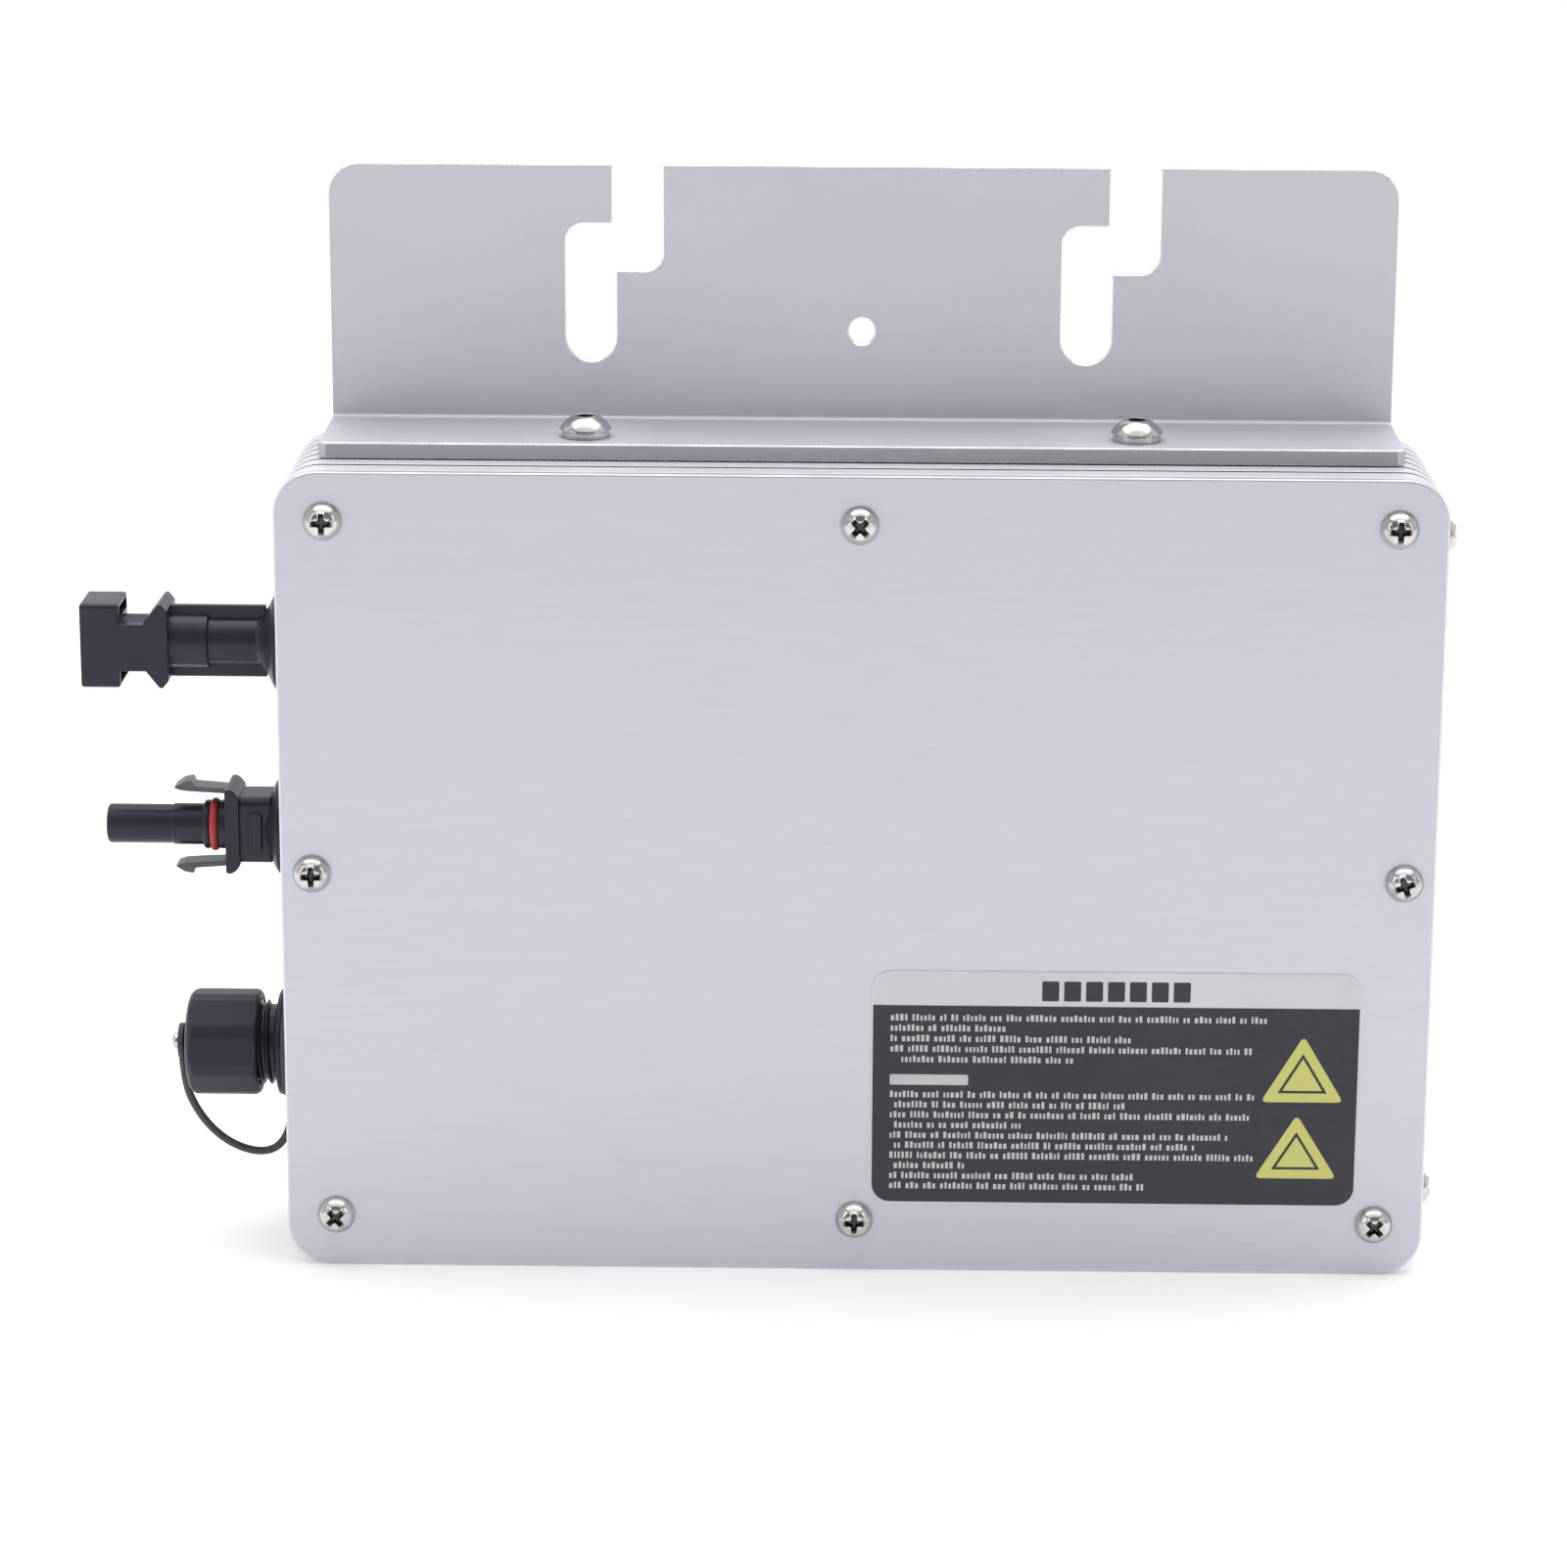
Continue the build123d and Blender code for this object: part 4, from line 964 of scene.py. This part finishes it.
def make_label():
    """The foil label: pale header, dark field, greeked rows and two plain triangles."""
    left, top, face, width, height = label_frame()
    _, back = node_box("info_label")
    outline = rounded_rectangle(left, left + width, top - height, top, LABEL_CORNER, 10)
    foil = solid("label_base", prism, outline, -back.y, -face, SIDE_VIEW, 0.05, 2)
    finish_piece(foil, "label_foil", "info_label")

    margin = 0.35
    header = 6.6
    corner = 3.4
    bm = bmesh.new()
    field = [(margin, header), (width - margin, header)]
    for x, start in ((width - margin - corner, 0), (margin + corner, 90)):
        field += quarter(x, height - margin - corner, corner, start, 8)
    add_print(bm, field, 0)
    bars = 7
    first = 31.2
    pitch = 4.0
    gap = 0.9
    for bar in range(bars):
        x = first + pitch * bar
        add_print(bm, round_corners(rectangle(x, x + pitch - gap, 1.8, 5.6), 0.25, 2), 0)
    finish_piece(link_mesh("label_dark_print", bm), "label_foil", materials=("label_dark",))

    rng = random.Random(7)
    row_height = 1.25
    bm = bmesh.new()
    margin_x = 3.6
    upper_rows = (72.6, 25.6, 47.7, 70.3, 37.2)
    for number, end in enumerate(upper_rows):
        start = 5.6 if number == 4 else margin_x
        greeked_row(bm, rng, start, end, 8.9 + 2.0 * number, row_height)
    add_print(bm, round_corners(rectangle(3.5, 17.9, 19.9, 21.9), 0.3, 2), 1)
    lower_rows = (71.2, 47.4, 69.9, 29.1, 66.2, 60.1, 70.8, 17.5, 49.0, 50.6)
    for number, end in enumerate(lower_rows):
        start = 4.4 if number in (1, 3, 5, 7) else margin_x
        greeked_row(bm, rng, start, end, 23.7 + 1.97 * number, row_height)
    finish_piece(link_mesh("label_rows", bm), "label_foil", materials=("label_pale",))

    bm = bmesh.new()
    inner = bmesh.new()
    half_width = 7.6
    for middle, tip, base in ((79.2, 11.8, 24.6), (78.4, 27.0, 39.4)):
        # A yellow triangle, a dark one on it and a yellow one on that leave a thin dark line.
        for target, shrink, corner, steps, layer in (
                (bm, 0.0, 1.3, 5, 1), (inner, 1.75, 0.1, 1, 2), (bm, 2.25, 0.1, 1, 3)):
            outline = triangle(middle, tip, base, half_width, shrink)
            add_print(target, round_corners(outline, corner, steps), layer)
    finish_piece(link_mesh("label_triangles", bm), "label_foil", materials=("label_yellow",))
    finish_piece(link_mesh("label_triangle_lines", inner), "label_foil", materials=("label_dark",))


# ---- shared by the connectors ----

# Places along X: the seals' outer face, the end of the stubs behind the wall, and where cuts end.
SEAL_FACE = -106.0
STUB_END = -92.0
PAST_STUB = -91.0
DC_DEPTH = 5.85
DC_FLANGE = 9.2
DC_STUB = 5.9
DC_BASE = [(SEAL_FACE, DC_FLANGE), (SEAL_FACE, DC_STUB), (STUB_END, DC_STUB), (STUB_END, 0)]
CONTACT_BORE = 2.45
# The latch fingers' pivots: their place along X and their distance from the connector's axis.
PIVOT = -116.0
PIVOT_HEIGHT = 6.85


def axis_height(node):
    """The height of a round node's axis."""
    low, high = node_box(node)
    return (low.z + high.z) / 2


def axis_of(node):
    """The frame whose Z is a round node's axis, along X."""
    return along_x(axis_height(node))


def mirrored(points):
    """A run of (x, height) points followed by its mirror image."""
    return points + [(x, -height) for x, height in reversed(points)]


def side_prism(bm, points, half_depth, z, edge, rounding=0.25):
    """A solid of one outline in X and height above an axis, centred in Y."""
    outline = round_corners([(x, z + height) for x, height in points], rounding, 3)
    prism(bm, outline, -half_depth, half_depth, SIDE_VIEW, edge, 3)


def finish_shell(shell, node):
    """Completes a black connector shell."""
    finish_piece(even_normals(shell), "black_shell", node)


# ---- DC connectors ----

def make_upper_dc():
    """The shell with two latch windows behind its square head."""
    z = axis_height("upper_dc_seal")
    axis = along_x(z)
    tip = node_box("upper_dc_shell")[0].x
    head_end = -135.3
    wedge_start = -130.9
    core = (head_end - 2, wedge_start + 2)
    barrel_start = -127.0
    fin = (6.7, -108.9)
    wedge = [(wedge_start, 4.3), (-128.1, 7.85), (-127.5, 7.85), (-126.4, 6.5)]
    barrels = [(barrel_start, 0), (barrel_start, 5.15), (-119.4, 5.15), (-119.3, 4.5),
               (-110.3, 4.5), (-109.6, 5.0), (-108.6, 6.2), (-107.7, 8.0), (-107.0, DC_FLANGE)]
    barrels += DC_BASE
    mouth = [(tip - 1, 0), (tip - 1, 5.75), (tip + 0.4, 4.35), (-134.5, 4.35), (-134.5, 4.1),
             (-124.0, 4.1), (-124.0, CONTACT_BORE), (PAST_STUB, CONTACT_BORE), (PAST_STUB, 0)]

    shell = solid("upper_dc_body", eased, barrels, axis, 96, 0.4, 4)
    combine(shell, [
        part(prism, round_corners(rectangle(-DC_DEPTH, DC_DEPTH, -7.85, 7.85), 0.9, 4),
             tip, head_end, axis, 0.5, 4),
        part(turned, [(core[0], 0), (core[0], 4.8), (core[1], 4.8), (core[1], 0)], axis),
        part(prism, round_corners(rectangle(-DC_DEPTH, 1.7, -4.7, 4.1), 0.3, 3), *core,
             axis, 0.1, 1),
        part(side_prism, mirrored(wedge), DC_DEPTH, z, 0.3),
        part(side_prism, [(barrel_start, -fin[0]), (fin[1], -fin[0]), (fin[1], fin[0]),
                          (barrel_start, fin[0])], 0.8, z, 0.2),
    ], "UNION")
    windows = [part(prism, rectangle(-4.7, 4.7, *sorted((5.0 * side, 7.1 * side))),
                    head_end - 2.4, head_end + 1, axis, 0.02, 1) for side in (1, -1)]
    combine(shell, [part(turned, mouth, axis, 64)] + windows, "DIFFERENCE")
    finish_shell(shell, "upper_dc_shell")


def pivot_place(z, side):
    """The frame of one latch finger's pivot, whose Z runs towards the front."""
    return frame_matrix((1, 0, 0), (0, 0, 1), (0, -1, 0), (PIVOT, 0, z + side * PIVOT_HEIGHT))


def make_lower_dc():
    """The shell with a round probe, a latch plate and a raised pad."""
    z = axis_height("lower_dc_seal")
    axis = along_x(z)
    tip = node_box("lower_dc_shell")[0].x
    body_depth = 5.2
    probe = [(tip, 0), (tip, 3.3), (tip + 0.4, 3.65), (-127.0, 3.65), (-126.8, 3.85),
             (-121.2, 3.85), (-121.2, 4.3), (-120.9, 4.55), (-120.1, 4.55), (-120.1, 3.33),
             (-118.3, 3.33), (-118.3, 4.55), (-110.0, 4.55), (-108.8, 6.0), (-107.8, 8.2),
             (-107.1, DC_FLANGE)] + DC_BASE
    plate = [(-116.8, 7.9), (-115.9, 8.1), (-114.9, 7.5), (-114.1, 6.4)]
    bore = [(tip - 1, 0), (tip - 1, 2.75), (tip + 0.3, CONTACT_BORE), (PAST_STUB, CONTACT_BORE),
            (PAST_STUB, 0)]

    shell = solid("lower_dc_body", eased, probe, axis, 96, 0.22, 4)
    combine(shell, [
        part(prism, round_corners(rectangle(-body_depth, body_depth, -6.3, 6.3), 1.9, 5),
             -115.5, -108.3, axis, 0.3, 3),
        part(side_prism, mirrored(plate), DC_DEPTH, z, 0.3, rounding=0.35),
        part(prism, round_corners(rectangle(-112.6, -109.9, z - 3.7, z + 3.7), 0.8, 4),
             -body_depth - 0.5, body_depth + 0.5, SIDE_VIEW, 0.4, 4),
    ], "UNION")
    # A round seat for each finger's root, and a slot that lets the finger out of it.
    half = 2.6
    seat = [(-half, 0), (-half, 0.7), (half, 0.7), (half, 0)]
    seats = [part(turned, seat, pivot_place(z, side), 32) for side in (1, -1)]
    slots = []
    for side in (1, -1):
        height = z + side * PIVOT_HEIGHT
        slots.append(part(prism, rectangle(-117.4, PIVOT, height - 0.62, height + 0.62),
                          -half, half, SIDE_VIEW, 0.02, 1))
    combine(shell, [part(turned, bore, axis, 48)] + seats + slots, "DIFFERENCE")
    finish_shell(shell, "lower_dc_shell")


def make_latch_finger(side, name, body):
    """One springy finger with its barb, ending in a round root."""
    z = axis_height("lower_dc_seal")
    points = [(-115.9, 6.45), (-122.0, 6.75), (-125.0, 6.95), (-126.6, 7.5), (-124.9, 8.6),
              (-123.2, 8.9), (-122.9, 7.85), (-119.5, 7.6), (-115.9, 7.3)]
    half = 2.5
    finger = solid(name + "_arm", side_prism, [(x, side * height) for x, height in points], half, z,
                   0.16, rounding=0.3)
    root = [(-half, 0), (-half, 0.65), (half, 0.65), (half, 0)]
    combine(finger, [part(eased, root, pivot_place(z, side), 32, 0.12, 2)], "UNION")
    # The fingers take the lighter latch plastic, a painted sheen.
    finish_piece(even_normals(finger), "black_shell", name, body=body, materials=("latch_painted_sheen",))


def make_oring():
    """The red sealing ring, round in section, standing out of its groove."""
    low, high = node_box("lower_dc_oring")
    middle = (low.x + high.x) / 2
    section = (high.x - low.x) / 2
    ring = (high.z - low.z) / 2 - section
    profile = [(middle + section * cos(angle), ring + section * sin(angle))
               for angle in circle_angles(20)]
    oring = solid("sealing_ring", turned, profile, axis_of("lower_dc_oring"), 96,
                  closed=True, smooth_angle=80)
    finish_piece(oring, "red_rubber", "lower_dc_oring")


# ---- AC connector ----

def add_thread(bm, place, start, end, root, crest, pitch):
    """A true helical thread that fades in and out."""
    steps = 48
    fade_steps = 20
    total = int((end - start) / pitch * steps)
    rings = []
    for step in range(total + 1):
        angle = 2 * pi * step / steps
        fade = min(1.0, step / fade_steps, (total - step) / fade_steps)
        height = root + (crest - root) * max(fade, 0.05)
        x = start + pitch * step / steps
        section = [(x - 0.68, root - 0.32), (x - 0.12, height), (x + 0.12, height),
                   (x + 0.68, root - 0.32)]
        rings.append([polar(place, radius, angle, along) for along, radius in section])
    loft(bm, rings)


def make_ac_socket():
    """The socket with its flange and thread."""
    axis = axis_of("ac_panel_gasket")
    tip = node_box("ac_socket_body")[0].x
    root = 7.1
    bore = 5.95
    body = [(tip, 0), (tip, root - 0.3), (tip + 0.3, root), (-108.5, root), (-108.1, 9.4),
            (-107.9, 9.9), (-107.0, 9.9), (-107.0, 7.9), (STUB_END, 7.9), (STUB_END, 0)]
    cavity = [(tip - 1, 0), (tip - 1, 6.6), (tip + 0.3, bore), (PAST_STUB, bore), (PAST_STUB, 0)]
    socket = solid("ac_socket", eased, body, axis, 96)
    combine(socket, [part(add_thread, axis, tip + 0.9, -108.75, root, 7.95, 1.5)], "UNION")
    combine(socket, [part(turned, cavity, axis, 64)], "DIFFERENCE")
    finish_shell(socket, "ac_socket_body")


def cap_reach(angle):
    """How far the cap's eight wide and eight narrow flats reach at an angle."""
    corner_radius = 9.95
    narrow = 6.0
    first_corner = 16.5 - 90.0
    reach = corner_radius
    for corner in range(8):
        middle = radians(first_corner + 45 * corner)
        wide = middle + radians(22.5)
        for centre, half in ((middle, narrow), (wide, 22.5 - narrow)):
            flat = corner_radius * cos(radians(half))
            facing = cos(angle - centre)
            if facing > 0.5:
                reach = min(reach, flat / facing)
    return reach


def make_cap():
    """The screw-on dust cap, faceted outside, with a boss for the tether."""
    place = axis_of("ac_panel_gasket")
    closed_end = -125.2
    open_end = -111.6
    bore = 8.25
    limits = [(angle, cap_reach(angle)) for angle in circle_angles(240)]
    outer = [(closed_end, 0.0), (closed_end, 7.6), (closed_end + 0.1, 8.1), (-124.85, 8.85),
             (-124.5, 9.35), (-124.1, 9.7), (-123.6, 9.92), (-122.9, 10.1), (-112.6, 10.1),
             (-112.2, 9.85), (-111.85, 9.6), (open_end, 9.25), (open_end, bore + 0.35),
             (open_end - 0.35, bore), (-123.05, bore), (-123.05, 0.0)]
    rings = [[polar(place, min(radius, limit), angle, x) for angle, limit in limits]
             for x, radius in outer]
    cap = solid("dust_cap", loft, rings)
    boss = [(-126.0, 0), (-126.0, 1.9), (-125.3, 1.95), (-124.9, 2.6), (-124.5, 2.6), (-124.5, 0)]
    screw_hole = [(-127.0, 0), (-127.0, 1.03), (-124.0, 1.03), (-124.0, 0)]
    combine(cap, [part(eased, boss, place, 48, 0.3)], "UNION")
    combine(cap, [part(turned, screw_hole, place, 32)], "DIFFERENCE")
    shade(cap, 18.0)
    finish_piece(even_normals(cap), "black_cap", "ac_cap", body="cap")


def make_eyelet():
    """The round eyelet at the tether's outer end."""
    low, high = node_box("tether_eyelet")
    outer = (high.z - low.z) / 2
    bore = 1.05
    section = round_corners(rectangle(low.x, high.x, bore, outer), 0.3, 4)
    place = axis_of("ac_panel_gasket")
    eyelet = solid("eyelet", turned, section, place, 64, closed=True)
    finish_piece(even_normals(eyelet), "black_rubber", "tether_eyelet", body="tether_end")


def make_swivel_screw():
    """The small bright screw on the cap's boss."""
    low, high = node_box("cap_swivel_screw")
    place = axis_of("ac_panel_gasket")
    segments = 64
    head_end = low.x + 1.2
    shank = 1.0
    recess = [(0.0, 0.0, low.x + 0.55), (0.7, 0.0, low.x + 0.5), (1.0, 0.0, low.x + 0.03)]
    rings = star_rings(place, lambda angle: cross_radius(angle, 0.16, 0.62), recess, segments)
    rings += round_rings(place, [(low.x, 0.85), (low.x + 0.12, 1.2), (low.x + 0.4, 1.42),
                                 (low.x + 0.7, 1.5), (head_end - 0.1, 1.5), (head_end, 1.4),
                                 (head_end, shank), (high.x, shank), (high.x, 0.0)], segments)
    finish_piece(solid("swivel_screw_head", loft, rings), "bright_screw", "cap_swivel_screw",
                 body="cap")


# ---- studio ----

def make_floor():
    """A large plain pale floor."""
    floor = solid("studio_floor", bmesh.ops.create_grid, x_segments=8, y_segments=8, size=6.0)
    finish = Finish("studio_paper", Metallic=0.0, Roughness=0.75,
                    **{"Emission Color": (1, 1, 1, 1), "Emission Strength": 0.15})
    finish.colour(finish.noise((3, 3, 3), 2.0), (0.93, 0.93, 0.93), (0.95, 0.95, 0.95))
    finish.bump((finish.noise((400, 400, 400), 2.0), 2e-5))
    floor.data.materials.append(MATERIALS["studio_paper"])


def add_softbox(name, place, target, size, radiance):
    """An area light that faces a target; its power follows from its brightness and area."""
    data = bpy.data.lights.new(name, "AREA")
    data.shape = "RECTANGLE"
    data.size, data.size_y = size
    data.energy = radiance * pi * size[0] * size[1]
    lamp = bpy.data.objects.new(name, data)
    facing = (Vector(target) - Vector(place)).to_track_quat("-Z", "Y")
    lamp.matrix_world = Matrix.Translation(place) @ facing.to_matrix().to_4x4()
    bpy.context.scene.collection.objects.link(lamp)


def make_studio():
    """White surroundings, brighter behind the object and darker behind the camera."""
    world = bpy.data.worlds.new("studio")
    bpy.context.scene.world = world
    world.use_nodes = True
    tree = world.node_tree
    background = tree.nodes["Background"]
    space = add_node(tree, "TexCoord", {})
    split = add_node(tree, "SeparateXYZ", {"Vector": space.outputs["Generated"]})
    depth = add_node(tree, "MapRange", {
        "From Min": -0.7, "From Max": 0.4, "To Min": 0.24, "To Max": 0.95,
        "Value": split.outputs["Y"]}, interpolation_type="SMOOTHSTEP")
    # The camera itself sees plain white behind the floor.
    seen = add_node(tree, "LightPath", {})
    pick = add_node(tree, "Mix", {"Factor": seen.outputs["Is Camera Ray"],
                                  2: depth.outputs["Result"], 3: 1.0}, data_type="FLOAT")
    background.inputs["Color"].default_value = (1.0, 1.0, 1.0, 1)
    tree.links.new(pick.outputs[0], background.inputs["Strength"])
    add_softbox("top_softbox", (0.0, 0.15, 1.2), (0, 0.05, 0.08), (1.6, 0.8), 1.5)
    add_softbox("left_softbox", (-1.1, -0.7, 0.6), (0, 0, 0.08), (0.6, 0.9), 1.3)
    add_softbox("right_softbox", (1.1, -0.7, 0.5), (0, 0, 0.08), (0.6, 0.8), 1.1)
    sky = bpy.data.lights.new("ceiling_glow", "SUN")
    sky.energy = 1.1
    sky.angle = radians(80)
    lamp = bpy.data.objects.new("ceiling_glow", sky)
    bpy.context.scene.collection.objects.link(lamp)
    bpy.context.scene.view_settings.view_transform = "Standard"


make_camera()
dress_cad_nodes()
make_tether()
make_ring()
make_connector_pads()
make_cover("front_cover")
make_cover("rear_cover")
make_bracket()
make_screws()
make_spring_washers()
make_label()
make_upper_dc()
make_lower_dc()
make_latch_finger(1, "latch_finger_upper", "latch_upper")
make_latch_finger(-1, "latch_finger_lower", "latch_lower")
make_oring()
make_ac_socket()
make_cap()
make_eyelet()
make_swivel_screw()
make_floor()
make_studio()
